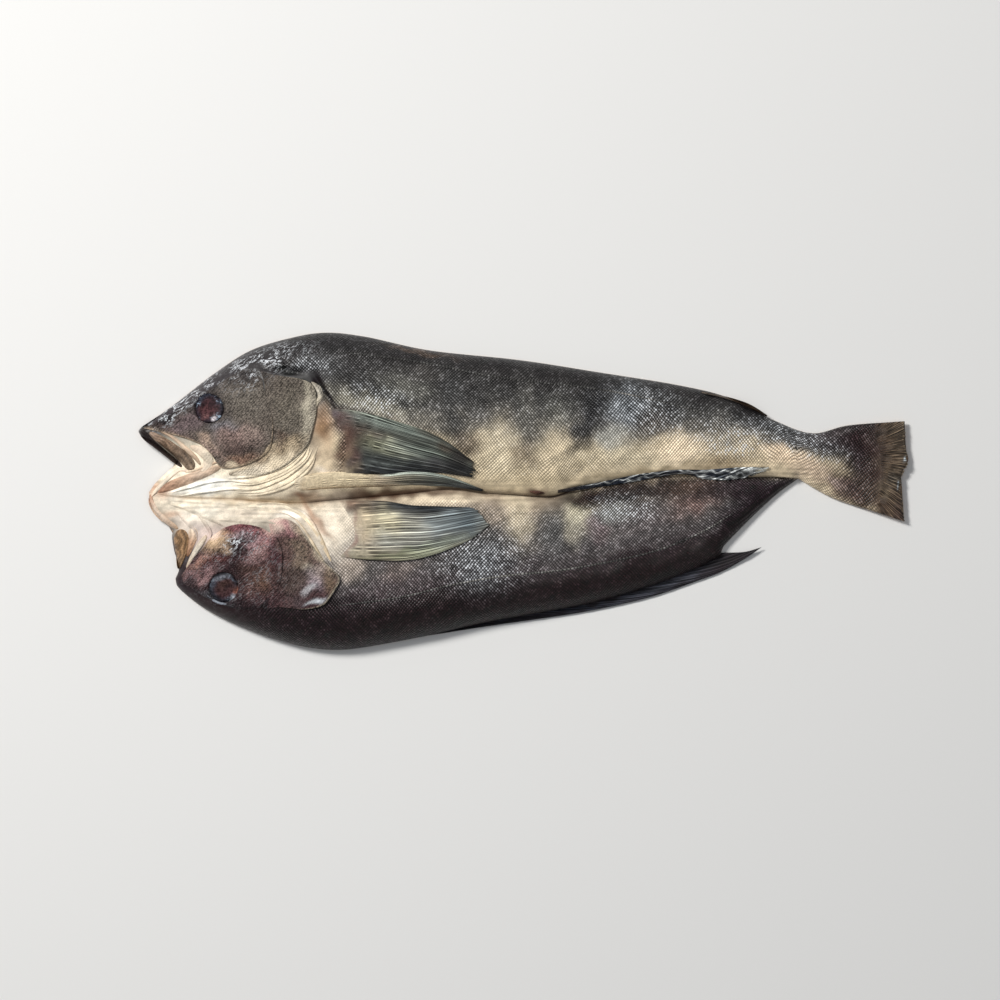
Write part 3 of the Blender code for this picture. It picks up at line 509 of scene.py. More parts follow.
HEAD_TOP_PATCHES = [
    (-159.8, 52.4, 29.6, 6.9, 36, (64, 60, 62), 0.9),
    (-179.6, 36.1, 10.9, 5.9, 30, (52, 47, 50), 0.9),
    (-129.2, 63.7, 22.7, 6.9, 16, (56, 54, 55), 0.85),
    # the gill slit, dark with painted shade
    (-116.8, 59.3, 9.4, 1.7, -8, (12, 10, 12), 0.97),
    (-98.6, 49.4, 9.9, 1.5, -58, (26, 21, 23), 0.9),
    (-145.0, -59.8, 36.6, 7.9, -24, (45, 36, 37), 0.9),
    (-167.2, -46.4, 7.9, 5.9, -20, (42, 33, 37), 0.9),
    (-110.4, -66.2, 34.6, 11.9, -4, (38, 30, 32), 0.9),
    (-104.5, 72.1, 10.9, 4.4, 16, (44, 42, 43), 0.7),
    (-140.0, -10.4, 8.4, 2.5, 0, (198, 186, 170), 0.75),
    (-106.0, -21.7, 4.0, 2.5, -40, (158, 148, 136), 0.7),
    (-174.6, -11.9, 4.9, 2.5, 0, (184, 156, 134), 0.75),
]


CONTRAST, BLACK, DARKEST = 1.2, 0.012, 0.004  # a dried skin's colours are deeper than the patches say


def body_tint(x, y, upper):
    """The colour of one half: fold to back by the share
    across, its patches, and painted shade in the crease of the fold."""
    seam, t = share_across(x, y, upper)
    t = np.clip(t + 0.025 * ripples(x, y, 11, 18), 0, 1)
    if upper:
        t = t - 0.18 * ramp(x, 60, 60) * np.sin(np.pi * t)
    ground = fade(t, UPPER_STOPS if upper else LOWER_STOPS)
    flank_patches = UPPER_PATCHES if upper else LOWER_PATCHES
    ground = lay(ground, x, y, flank_patches + HEAD_UNDER_PATCHES + HEAD_TOP_PATCHES)
    uneven = 1 + 0.08 * ripples(x, y, 53, 7, 80, 120) + 0.05 * ripples(x, y, 54, 3.6)
    # lengthwise streaks near the fold: the painted light and shade of fine wrinkles
    uneven += 0.09 * ripples(0.16 * x, y, 55, 2.4, 90, 40) * bell((y - seam) / 11)
    ground = ground * np.clip(uneven, 0.7, 1.35)[..., None]
    # painted shade: a dark line in the crease of the fold, and a brown one along it on the throat
    crease = bell((y - seam) / 0.9) * ramp(x, -112, 8) * ramp(x, 34, -10)
    fold = bell((y - seam) / 0.7) * ramp(x, -104, -8) * ramp(x, -182, 10)
    ground = over(over(ground, (58, 42, 35), 0.85 * crease), (128, 100, 72), 0.6 * fold)
    return np.maximum(CONTRAST * ground - BLACK, DARKEST)


def wetness(x, y):
    """How wet and pinched the skin is: the top of the snout and the nape, and less on the lower head.
    The finishes paint glints where it is wet.
    """
    snout = blob(x, y, -166.7, 45.9, 24.7, 4.4, 36) + blob(x, y, -179.6, 36.1, 9.9, 4.9, 30)
    nape = blob(x, y, -125.2, 65.2, 18.8, 5.9, 16) + 0.6 * blob(x, y, -135.1, 54.8, 10.9, 4.9, 20)
    low = blob(x, y, -138.6, -24.7, 10.4, 4.4, 8) + 0.2 * blob(x, y, -140.0, -39.0, 24.7, 17.8, 0)
    dull = 0.3 * blob(x, y, -141.5, -39.5, 8.4, 4.4, 14)
    return np.clip(snout + nape + low - dull, 0, 1)


# %% [markdown]
# ## Putting a surface into a mesh
# A flap of skin is thin, but it has two sides and a rim. The Solidify modifier would give a sheet one
# thickness all over. Here the thickness changes from place to place, so a skin is a grid of points for its
# top and the same grid, lowered, for its bottom, joined round the rim. Each piece is one closed body, and its
# free edge can stand clear and cast a shadow.


# %% Closed skins
def patch(inner, outer, start, end, across, along_it):
    """A Coons patch, the surface that four curves bound: the two ruled surfaces between facing curves, added,
    less the flat one through the four corners."""
    u, v = along_it[:, None, None], across[None, :, None]
    ruled = (1 - v) * at_shares(inner, along_it)[:, None] + v * at_shares(outer, along_it)[:, None]
    other = (1 - u) * at_shares(start, across)[None] + u * at_shares(end, across)[None]
    flat = (1 - u) * ((1 - v) * inner[0] + v * outer[0]) + u * ((1 - v) * inner[-1] + v * outer[-1])
    made = ruled + other - flat
    return made[..., 0], made[..., 1]


def quads_of(index):
    """The faces between the neighbours of a grid of vertex numbers."""
    corners = index[:-1, :-1], index[1:, :-1], index[1:, 1:], index[:-1, 1:]
    return np.stack([corner.ravel() for corner in corners], -1)


def rim_of(index):
    """The vertex numbers round the edge of a grid, in the turning sense of its faces."""
    return np.concatenate([index[:-1, 0], index[-1, :-1], index[:0:-1, -1], index[0, :0:-1]])


def closed_skin(top, low):
    """Points and faces of the body between two grids of points: both grids and the strip round their rims."""
    n, m = top.shape[:2]
    above = np.arange(n * m).reshape(n, m)
    below = above + n * m
    a, b = rim_of(above), rim_of(below)
    strip = np.stack([np.roll(a, -1), a, b, np.roll(b, -1)], -1)
    points = np.concatenate([top.reshape(-1, 3), low.reshape(-1, 3)])
    return points, [quads_of(above), quads_of(below)[:, ::-1], strip]


def coarse_under(top, low, every):
    """As closed_skin, for an underside that has only one row in every so many of the top's."""
    n, m = top.shape[:2]
    k = low.shape[1]
    above = np.arange(n * m).reshape(n, m)
    below = n * m + np.arange(n * k).reshape(n, k)
    strips = [np.stack([above[1:, 0], above[:-1, 0], below[:-1, 0], below[1:, 0]], -1),
              np.stack([above[:-1, -1], above[1:, -1], below[1:, -1], below[:-1, -1]], -1)]
    half = every // 2
    j = np.arange(m - 1)
    turn = np.arange(1, k) * every - half
    for column, order in ((0, 1), (-1, -1)):
        a, b = above[column], below[column]
        fans = np.concatenate([
            np.stack([a[j], a[j + 1], b[(j + half) // every]], -1),
            np.stack([a[turn], b[1:], b[:-1]], -1),
        ])
        strips.append(fans[:, ::order])
    points = np.concatenate([top.reshape(-1, 3), low.reshape(-1, 3)])
    return points, [quads_of(above), quads_of(below)[:, ::-1], *strips]


MM3_PER_CM3 = 1000


def add_piece(name, points, faces, tint, finish, rows=None, wet=None, node="fish"):
    """A mesh object from points in mm, face arrays and a colour for each point. How wet and wrinkled the skin
    is goes into the colour's alpha, which sets the finishes' painted glints; rows holds three values for a
    finish that draws scales or rays."""
    six_volumes = sum(
        np.einsum("ij,ij->", points[f[:, 0]], np.cross(points[f[:, i]], points[f[:, i + 1]]))
        for f in faces for i in range(1, f.shape[1] - 1)
    )
    faces = faces if six_volumes > 0 else [f[:, ::-1] for f in faces]
    mesh = bpy.data.meshes.new(name)
    mesh.from_pydata((points * MM).tolist(), [], [face for f in faces for face in f.tolist()])
    mesh.shade_smooth()
    wet = np.zeros(len(tint)) if wet is None else wet
    colours = mesh.attributes.new("tint", "FLOAT_COLOR", "POINT")
    colours.data.foreach_set("color", np.column_stack([tint, wet]).astype(np.float32).ravel())
    if rows is not None:
        values = mesh.attributes.new("rows", "FLOAT_VECTOR", "POINT")
        values.data.foreach_set("vector", rows.astype(np.float32).ravel())
    mesh.materials.append(finish)
    made = put(name, mesh)
    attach(made, "root")
    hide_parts(node)
    triangles = sum(len(f) * (f.shape[1] - 2) for f in faces)
    print(name, triangles, "triangles, volume", round(abs(six_volumes) / 6 / MM3_PER_CM3, 2), "cm3")


def thin_skin(name, x, y, high, low, tint, finish, rows=None, wet=None, shade=1.0):
    """A closed skin over x and y between two heights. Its
    underside is dry and has the tint times the shade; a shade below 1 is painted shade."""
    points, faces = closed_skin(np.stack([x, y, high], -1), np.stack([x, y, low], -1))
    tint = tint.reshape(-1, 3)
    if rows is not None:
        rows = np.tile(np.stack(np.broadcast_arrays(*rows), -1).reshape(-1, 3), (2, 1))
    if wet is not None:
        wet = np.append(wet, 0 * wet)
    add_piece(name, points, faces, np.concatenate([tint, shade * tint]), finish, rows, wet)


# %% [markdown]
# ## Shader sums
# Nodes could be added and wired one by one, but a finish is easier to read as a sum than as a web. This small
# class wraps a socket, so that `a * b + 1` adds the Math nodes that work it out.


# %% Sockets with arithmetic
AS_VECTOR, AS_ALPHA = 1, 3  # outputs of an Attribute node
MIX_RGB = (0, 6, 7, 2)  # factor, first and second colour, and the output of a Mix node for colours


class Wire:
    """One socket of a finish, with + - * / between wires and numbers as Math nodes."""

    def __init__(self, finish, socket):
        self.finish = finish
        self.socket = socket

    def sum(self, operation, *others):
        """A Math node on this wire and any others."""
        return self.finish.node("Math", {"operation": operation}, [self, *others])

    def __add__(self, other):
        return self.sum("ADD", other)

    def __sub__(self, other):
        return self.sum("SUBTRACT", other)

    def __mul__(self, other):
        return self.sum("MULTIPLY", other)

    def __truediv__(self, other):
        return self.sum("DIVIDE", other)

    def __rsub__(self, other):
        return (self * -1.0).sum("ADD", other)

    __radd__ = __add__
    __rmul__ = __mul__

    def stripes(self, power):
        """|sin(pi x)|^power, a stripe for each whole number."""
        return (self * np.pi).sum("SINE").sum("ABSOLUTE").sum("POWER", power)

    def step(self, low, high):
        """0 at low, 1 at high, and soft between."""
        settings = {"interpolation_type": "SMOOTHSTEP"}
        return self.finish.node("MapRange", settings, {"Value": self, "From Min": low, "From Max": high})


class Finish:
    """A material under construction, with its Principled shader."""

    def __init__(self, name, **fixed):
        self.material = bpy.data.materials.new(name)
        self.material.use_nodes = True
        self.tree = self.material.node_tree
        self.shader = self.tree.nodes["Principled BSDF"]
        for socket, value in fixed.items():
            self.shader.inputs[socket.replace("_", " ")].default_value = value

    def feed(self, socket, value):
        """A wire into a socket, or a fixed value on it."""
        if isinstance(value, Wire):
            self.tree.links.new(value.socket, socket)
        else:
            socket.default_value = value

    def node(self, kind, settings, sockets, output=0):
        """A node of this kind with its settings made first, then its sockets fed by place or by name."""
        made = self.tree.nodes.new("ShaderNode" + kind)
        for key, value in settings.items():
            setattr(made, key, value)
        pairs = sockets.items() if isinstance(sockets, dict) else enumerate(sockets)
        for key, value in pairs:
            self.feed(made.inputs[key], value)
        return Wire(self, made.outputs[output])

    def read(self, attribute, output=0):
        """The values that the vertices of a piece carry under this name."""
        return self.node("Attribute", {"attribute_name": attribute}, {}, output)

    def parts(self, vector):
        """The three numbers of a vector."""
        split = self.node("SeparateXYZ", {}, [vector])
        return [Wire(self, output) for output in split.socket.node.outputs]

    def place(self, scale):
        """Object coordinates in millimetres, times a scale."""
        at = self.node("TexCoord", {}, {}, "Object")
        return self.node("VectorMath", {"operation": "SCALE"}, {0: at, "Scale": scale / MM})

    def noise(self, vector, detail, roughness=0.5):
        """A value about 0.5 that wanders with the place."""
        sockets = {"Vector": vector, "Scale": 1.0, "Detail": detail, "Roughness": roughness}
        return self.node("TexNoise", {}, sockets)

    def mix(self, factor, a, b):
        """Colour a turning into colour b as factor goes from 0 to 1."""
        share, first, second, mixed = MIX_RGB
        return self.node("Mix", {"data_type": "RGBA"}, {share: factor, first: a, second: b}, mixed)

    def grey(self, colour):
        """How light a colour is."""
        sockets = {0: colour, 1: (0.33, 0.34, 0.33)}
        return self.node("VectorMath", {"operation": "DOT_PRODUCT"}, sockets, "Value")

    def scaled(self, colour, factor):
        """A colour made lighter or darker by a factor."""
        return self.node("VectorMath", {"operation": "SCALE"}, {0: colour, "Scale": factor})

    def bump(self, height, distance, strength=1.0, under=None):
        """A normal tilted by a height; under is the normal that it starts from."""
        sockets = {"Height": height, "Distance": distance, "Strength": strength}
        if under is not None:
            sockets["Normal"] = under
        return self.node("Bump", {}, sockets)

    def done(self, **wires):
        """The material, with these wires or values in its shader."""
        for socket, wire in wires.items():
            self.feed(self.shader.inputs[socket.replace("_", " ")], wire)
        return self.material


# %% [markdown]
# ## The finish of scaled skin
# The scales are diamonds 1.6 mm long and 1.9 mm across, set like roof tiles. Modelling
# some twenty thousand of them would swamp the mesh, so the finish draws them: two sets
# of slanting stripes whose crossings are the scales. Each scale gets a chance value,
# so that some are painted bright as if they caught the light and some aren't, and a low dome in the bump.


# %% Wet wrinkles
FOREHEAD = np.radians(-38.0)  # turns the line of the forehead onto x
GLINT = (0.78, 0.81, 0.85, 1.0)
BUMP_OF_WRINKLES = 0.0008


def wet_wrinkles(f, skin, wet):
    """The skin's colour with painted glints where it is wet, and the crumpled height
    that goes with them. The glints are thin wandering lines where a noise,
    drawn out along the line of the forehead, passes its middle value."""
    settings = {"rotation_type": "Z_AXIS"}
    turned = f.node("VectorRotate", settings, {"Vector": f.place(1.0), "Angle": FOREHEAD})
    long_way = f.node("VectorMath", {"operation": "MULTIPLY"}, {0: turned, 1: (0.2, 0.46, 0.4)})
    crumple = f.noise(long_way, 3.0, 0.62)
    line = (crumple - 0.5).sum("ABSOLUTE")
    patchy = f.noise(f.place(0.16), 3.0, 0.6).step(0.4, 0.55)
    squiggle = (1 - line.step(0.0, 0.045)) * patchy
    return f.mix(wet * squiggle * 0.95, skin, GLINT), crumple


# %% Scaled skin
SCALE_LONG = 1.63
SCALE_WIDE = 1.94
# the colour of the glints painted on single scales
SCALE_GLINT = (0.42, 0.43, 0.45, 1.0)
SHEEN_TONE = (0.80, 0.84, 0.88, 1.0)
BUMP_OF_SCALES = 0.00024


def scaled_skin(name, roughness):
    """Reads tint with its wetness, and rows as (mm along, mm across, how far the scales
    show). The scales are the product of two stripes, |sin a|^p * |sin b|^q, whose powers
    lean to one stripe or the other from place to place: painted glints as light specks where
    the skin is dark, thin dark lines where it is pale, and a painted bright sheen where shown
    passes 1."""
    f = Finish(name, Specular_IOR_Level=0.26)
    along_mm, across_mm, shown = f.parts(f.read("rows", AS_VECTOR))
    drift = f.noise(f.place(0.1), 1.0) * 1.6
    a = along_mm * (1 / SCALE_LONG) + across_mm * (1 / SCALE_WIDE) + drift
    b = along_mm * (1 / SCALE_LONG) - across_mm * (1 / SCALE_WIDE) + drift
    lean = f.noise(f.place(0.06), 2.0).step(0.36, 0.64)
    dome = a.stripes(lean * 0.7 + 0.55) * b.stripes(1.25 - lean * 0.7)
    cell = f.node("CombineXYZ", {}, [a.sum("FLOOR"), b.sum("FLOOR"), 0.0])
    chance = f.node("TexWhiteNoise", {"noise_dimensions": "3D"}, [cell])
    rare = chance * chance * chance
    cloud = f.noise(f.place(0.22), 4.0, 0.62).step(0.28, 0.72)
    tint, wet = f.read("tint"), f.read("tint", AS_ALPHA)
    grey = f.grey(tint)
    pale = grey.step(0.05, 0.36)
    dark_scales = dome * (1.35 + rare * 2.1) * (cloud * 0.8 + 0.6) + 0.04
    pale_scales = dome.sum("SQRT") * (1.2 + chance * 0.22) + 0.23
    pattern = dark_scales + (pale_scales - dark_scales) * pale * 0.8
    light = (1 + (pattern - 1) * shown).sum("MAXIMUM", 0.06)
    speck = f.noise(f.place(1.7), 3.0, 0.7).step(0.3, 0.7) * 0.3 + 0.86
    skin = f.scaled(tint, light * speck)
    lit = (grey * 28).sum("MINIMUM", 1.0)
    # painted glints on single scales, faded out where the skin is darkest
    skin = f.mix(dome * rare * chance * cloud * shown * lit * 0.42, skin, SCALE_GLINT)
    # a painted sheen where shown passes 1
    sheen = (shown - 1).sum("MAXIMUM", 0.0) * dome * dome
    sheen = sheen * (rare * 1.3 + chance * 0.3 + 0.18) * (cloud * 0.8 + 0.3)
    skin, crumple = wet_wrinkles(f, f.mix(sheen * 1.6, skin, SHEEN_TONE), wet)
    tilt = f.bump((dome + chance * 0.7) * shown, BUMP_OF_SCALES, 0.9)
    fine = f.bump(crumple * (wet + 0.12), BUMP_OF_WRINKLES, 0.8, tilt)
    gloss = roughness - shown * chance * 0.18 + cloud * 0.1 - wet * 0.16
    return f.done(Base_Color=skin, Roughness=gloss, Normal=fine)


flank_finish = scaled_skin("scaled skin", 0.42)
print("scaled skin has", len(flank_finish.node_tree.nodes), "nodes")

# %% [markdown]
# ## The two halves
# Each half of the opened fish is a slab of flesh under its skin. A plane bent by modifiers could make it, but
# a grid stretched between the fold and the back follows the fish's own lines, and the scales run along them.
# The rows crowd together towards the cut back, where the skin rolls over. Underneath lies the flesh, which
# rests on the ground and needs few rows.

# %% The halves
ALONG, ACROSS, UNDER_ROWS = ((640, 133, 12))
FLESH = (196, 160, 132)
SHEEN_GAIN = 0.7

# where the scales catch the most light: there the finish paints a sheen on them
SHEEN = [
    (-106.5, 60.3, 10.9, 5.4), (-71.9, 45.0, 14.8, 6.4, -10), (60.5, 40.0, 16.8, 10.9, -14),
    (101.0, 25.2, 17.8, 8.9, -14), (48.7, -8.4, 16.8, 6.9), (136.6, 25.2, 24.7, 6.9, -20),
    (-21.5, -33.6, 18.8, 14.3),
]


def scale_cover(x, y, upper):
    """How far the scales show: not on the head, the smooth
    belly strip, the bare roots of the fins or the tail. It passes 1
    in the SHEEN places, where the finish paints a sheen."""
    seam = read_y(x, SEAM)
    behind = ramp(x, -104, 10)
    if upper:
        behind = np.maximum(behind, ramp(x, -132, 24) * ramp(y, 57, 4))
    else:
        behind = np.maximum(behind, ramp(x, -146, 24) * ramp(y, -54, -4))
    belly = ramp(np.abs(y - seam), 2, 9)
    belly = np.maximum(belly, ramp(x, 126 if upper else 16, 24))
    bare = blob(x, y, -97.6, 19.3, 6.9, 17.8) + blob(x, y, -97.1, -16.3, 12.8, 17.8)
    tail = ramp(x, 180, -9)
    sheen = sum(blob(x, y, *place) for place in SHEEN)
    return behind * belly * tail * (1 - np.clip(bare, 0, 1)) * (1 + SHEEN_GAIN * np.clip(sheen, 0, 1))


def half(name, upper, inner, outer, start, end):
    """One half as a closed body: the skin's grid above, the flesh's coarse one below."""
    shares = 1 - (1 - np.linspace(0, 1, ACROSS)) ** 1.35
    every = (ACROSS - 1) // UNDER_ROWS
    x, y = patch(inner, outer, start, end, shares, np.linspace(0, 1, ALONG))
    top = np.stack([x, y, half_height(x, y, upper)], -1)
    low_x, low_y = x[:, ::every], y[:, ::every]
    low = np.stack([low_x, low_y, underside(low_x, low_y)], -1)
    points, faces = coarse_under(top, low, every)
    tint = [body_tint(x, y, upper).reshape(-1, 3), np.tile(linear(FLESH), (low_x.size, 1))]
    length = np.cumsum(np.linalg.norm(np.diff(top, axis=1, prepend=top[:, :1]), axis=2), axis=1)
    rows = [np.stack([x, length, scale_cover(x, y, upper)], -1), np.stack([low_x, low_y, 0 * low_x], -1)]
    rows = np.concatenate([part.reshape(-1, 3) for part in rows])
    wet = np.append(wetness(x, y), np.zeros(low_x.size))
    add_piece(name, points, faces, np.concatenate(tint), flank_finish, rows, wet)


def tucked(line, before, after):
    """The fold's line moved across by one amount ahead of the middle of the fish, and another behind it."""
    x = line[:, 0]
    shift = before + (after - before) * ramp(x, -4, 20)
    return line + np.column_stack([0 * x, shift * ramp(x, -184, 8) * ramp(x, 136, -10)])


fold = SEAM[SEAM[:, 0] <= CUT_END[0, 0]]
upper_fold = np.vstack([tucked(fold, -0.6, 0.0), TAIL_UNDER[::-1]])
mouth_line = np.vstack([CHIN_OVER[:-1], UPPER_LIP[:-1], SNOUT_TIP])
half("flank_upper", True, upper_fold, UPPER_BACK, mouth_line, TAIL_END[::-1])
lower_outer = np.vstack([LOWER_BACK[::-1][:-1], DORSAL_BASE[::-1]])
chin_line = np.vstack([CHIN_UNDER[::-1][:-1], LOWER_MOUTH[::-1]])
half("flank_lower", False, tucked(fold, 0.6, 3.0), lower_outer, chin_line, CUT_END)

# %% [markdown]
# ## Flaps on the head
# The gill cover and the cheek are stiff plates under skin. Each grows out of the head on one side and ends in
# a free edge that stands off the body. Dark lines drawn on the skin would pass for that edge from above only.
# So the sheet below is ruled from a hidden root, sunk into the head, to the edge, and it has a real thickness
# that rounds off there and throws the thin shadow that draws its outline.

# %% Head colours
UPPER_HEAD_PATCHES = [
    (-164.7, 47.9, 23.7, 5.9, 35, (46, 42, 44), 0.95),
    (-180.6, 35.1, 11.9, 5.9, 30, (36, 32, 35), 0.95),
    (-155.4, 41.0, 11.9, 11.4, 0, (46, 40, 45), 0.7),
    (-166.7, 33.1, 10.9, 4.4, 26, (98, 84, 86), 0.8),
    (-171.7, 28.2, 10.9, 2.0, -24, (96, 80, 76), 0.7),
    (-185.0, 29.6, 4.4, 2.2, -14, (148, 130, 116), 0.85),
    (-148.0, 31.6, 6.9, 3.5, 10, (122, 126, 134), 0.6),
    (-141.0, 27.2, 10.9, 5.9, 0, (134, 112, 106), 0.8),
    (-157.3, 25.2, 4.9, 2.0, -28, (164, 142, 126), 0.85),
    (-142.0, 20.7, 10.9, 3.5, 10, (70, 55, 52), 0.75),
    (-134.6, 28.2, 5.4, 4.4, 0, (142, 126, 117), 0.6),
    (-137.6, 44.0, 11.9, 9.9, 0, (104, 98, 90), 0.75),
    (-132.1, 59.8, 21.7, 5.9, 18, (58, 55, 56), 0.85),
    (-114.4, 39.0, 9.9, 14.8, 0, (100, 94, 84), 0.7),
    (-106.0, 41.0, 3.2, 17.8, -6, (178, 170, 152), 0.85),
    (-116.8, 20.3, 11.9, 4.4, 26, (164, 146, 120), 0.85),
    (-119.8, 26.2, 3.5, 4.0, 0, (92, 72, 60), 0.5),
    (-138.6, 15.3, 8.9, 3.0, 10, (134, 106, 90), 0.9),
    (-138.1, 11.9, 10.9, 1.7, 8, (222, 204, 176), 0.95),
    (-126.2, 18.8, 5.4, 1.7, 48, (206, 186, 156), 0.9),
    (-133.1, 8.9, 15.8, 3.0, 10, (240, 226, 202), 0.97),
    (-119.8, 14.8, 8.9, 3.5, 34, (234, 217, 188), 0.95),
    (-152.9, 19.3, 6.9, 2.5, -38, (150, 128, 118), 0.7),
]
LOWER_HEAD_PATCHES = [
    (-161.8, -42.0, 13.8, 4.9, 30, (46, 29, 33), 0.95),
    # a painted highlight on the ridge of the snout
    (-159.8, -43.5, 9.9, 3.0, 28, (166, 132, 132), 0.9),
    (-166.7, -45.9, 7.9, 4.9, -20, (30, 22, 26), 0.9),
    # a painted highlight along the snout's upper edge
    (-158.8, -34.6, 8.4, 2.5, 38, (152, 116, 104), 0.85),
    (-142.0, -28.2, 12.8, 4.9, 18, (38, 29, 30), 0.9),
    (-151.9, -24.7, 6.9, 4.0, 20, (220, 188, 152), 0.95),
    (-152.9, -20.7, 4.0, 2.5, 30, (238, 210, 190), 0.95),
    (-147.0, -26.7, 3.5, 2.5, 20, (166, 142, 120), 0.7),
    (-145.0, -21.7, 5.4, 2.5, 10, (150, 112, 92), 0.7),
    (-139.6, -25.2, 5.9, 3.0, 8, (38, 34, 36), 0.85),
    (-137.1, -18.3, 13.3, 2.2, -6, (116, 72, 76), 0.95),
    (-128.2, -25.2, 4.9, 6.9, -50, (150, 110, 110), 0.9),
    (-133.1, -34.1, 8.4, 2.2, 28, (134, 106, 106), 0.8),
    (-134.1, -25.2, 4.4, 2.0, 24, (160, 130, 132), 0.85),
    (-139.6, -21.7, 5.9, 2.0, 6, (150, 132, 136), 0.7),
    (-129.2, -29.6, 4.4, 3.0, 20, (150, 120, 116), 0.7),
    (-151.9, -34.1, 5.9, 2.5, 30, (84, 48, 44), 0.75),
    (-129.2, -29.6, 3.5, 2.5, 40, (150, 120, 118), 0.7),
    (-141.5, -39.5, 8.9, 4.4, 14, (17, 9, 11), 0.98),
    (-164.3, -41.5, 3.5, 1.5, 28, (116, 90, 90), 0.8),
    (-126.2, -37.0, 4.4, 7.9, 0, (84, 60, 60), 0.7),
    (-121.8, -34.1, 4.4, 8.9, 0, (62, 38, 42), 0.92),
    (-132.1, -43.0, 9.9, 7.9, 0, (76, 56, 50), 0.8),
    (-129.2, -45.4, 4.4, 4.0, 0, (122, 94, 76), 0.4),
    (-147.0, -48.9, 10.9, 10.9, 0, (48, 34, 37), 0.9),
    # a painted highlight along the lower rim of the eye's socket
    (-150.9, -54.3, 10.9, 2.0, -20, (120, 122, 128), 0.6),
    (-109.9, -32.1, 6.4, 12.8, 14, (112, 98, 85), 0.9),
    (-101.0, -40.0, 3.0, 5.4, -24, (152, 138, 130), 0.85),
    (-106.0, -39.0, 3.0, 3.5, 0, (152, 144, 130), 0.6),
    (-114.4, -45.0, 6.9, 9.9, 0, (72, 61, 57), 0.9),
    (-117.3, -32.1, 3.0, 9.9, 0, (92, 72, 68), 0.7),
    (-122.3, -14.8, 8.9, 4.0, -20, (226, 206, 190), 1.0),
    (-126.2, -18.3, 3.0, 3.5, 0, (196, 164, 154), 0.9),
    (-118.3, -17.3, 5.9, 1.5, -26, (190, 150, 146), 0.8),
    (-116.3, -19.8, 4.9, 3.0, -30, (136, 96, 100), 0.8),
    (-108.9, -17.8, 4.9, 3.0, -40, (206, 186, 162), 0.7),
    (-99.5, -30.1, 3.0, 12.8, 28, (190, 176, 154), 0.7),
    # painted shine on the gill cover's purple grey, and two white painted highlights
    (-102.5, -44.0, 5.4, 4.4, -20, (134, 122, 128), 0.8),
    (-105.0, -47.9, 1.7, 4.0, -40, (196, 194, 198), 0.8),
    (-102.5, -54.3, 4.4, 1.2, 20, (196, 202, 208), 0.85),
    (-110.4, -54.8, 4.4, 2.5, 10, (74, 62, 64), 0.8),
    (-95.1, -45.9, 3.5, 6.9, 10, (104, 88, 72), 0.8),
    (-136.1, -58.8, 32.6, 4.0, -16, (32, 23, 26), 0.9),
    (-134.1, -48.9, 4.9, 3.0, 20, (104, 80, 76), 0.6),
]


def head_tint(x, y, upper):
    """The colour of a head: its ground and its patches."""
    ground = linear((94, 86, 79) if upper else (66, 46, 48)) + np.zeros((*x.shape, 3))
    return lay(ground, x, y, UPPER_HEAD_PATCHES if upper else LOWER_HEAD_PATCHES)


# %% Skin of the head
def head_skin(name, roughness, freckles):
    """Leathery skin: small slanting scales and freckles that fade where it is pale, painted glints where it
    is wet.
    The scales are |sin a|^0.5 * |sin b|^1.4 of two slanting counts that a noise bends."""
    f = Finish(name, Specular_IOR_Level=0.14)
    tint, wet = f.read("tint"), f.read("tint", AS_ALPHA)
    speckled = freckles * (1 - f.grey(tint).step(0.14, 0.42) * 0.85)
    x_mm, y_mm, _ = f.parts(f.place(1.0))
    drift = f.noise(f.place(0.1), 2.0) * 4.0 + f.noise(f.place(0.6), 2.0) * 1.7
    a = x_mm * 0.57 + y_mm * 0.5 + drift
    b = x_mm * 0.62 - y_mm * 0.52 + drift
    pebble = a.stripes(0.5) * b.stripes(1.4)
    freckle = f.noise(f.place(0.75), 4.0, 0.7).step(0.4, 0.6)
    mottle = f.noise(f.place(0.16), 4.0, 0.62).step(0.3, 0.7)
    light = (pebble * 1.3 + freckle * 1.2 - 1.1) * speckled + mottle * 0.45 + 0.79
    skin, crumple = wet_wrinkles(f, f.scaled(tint, light), wet)
    pores = f.bump(pebble + freckle * 0.5, 0.0004 * freckles + 0.00005, 0.9)
    folds = f.bump(crumple * (wet + 0.25), BUMP_OF_WRINKLES, 0.8, pores)
    gloss = roughness - mottle * 0.12 - wet * 0.12
    return f.done(Base_Color=skin, Roughness=gloss, Normal=folds)


head_finish = head_skin("head skin", 0.42, 0.66)
membrane_finish = head_skin("throat skin", 0.44, 0.14)
print("head skin has", len(head_finish.node_tree.nodes), "nodes")

# %% Flaps
COVER_GRID, FOLD_GRID = (((170, 110), (100, 44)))
CLEAR_OF_ROOT = 2.5  # how far from its root a flap has come up to the skin
PROUD = 0.16  # how far its top stands out of the skin there
ROUNDED = 0.8  # width of its rounded edge, as a share of the thickness


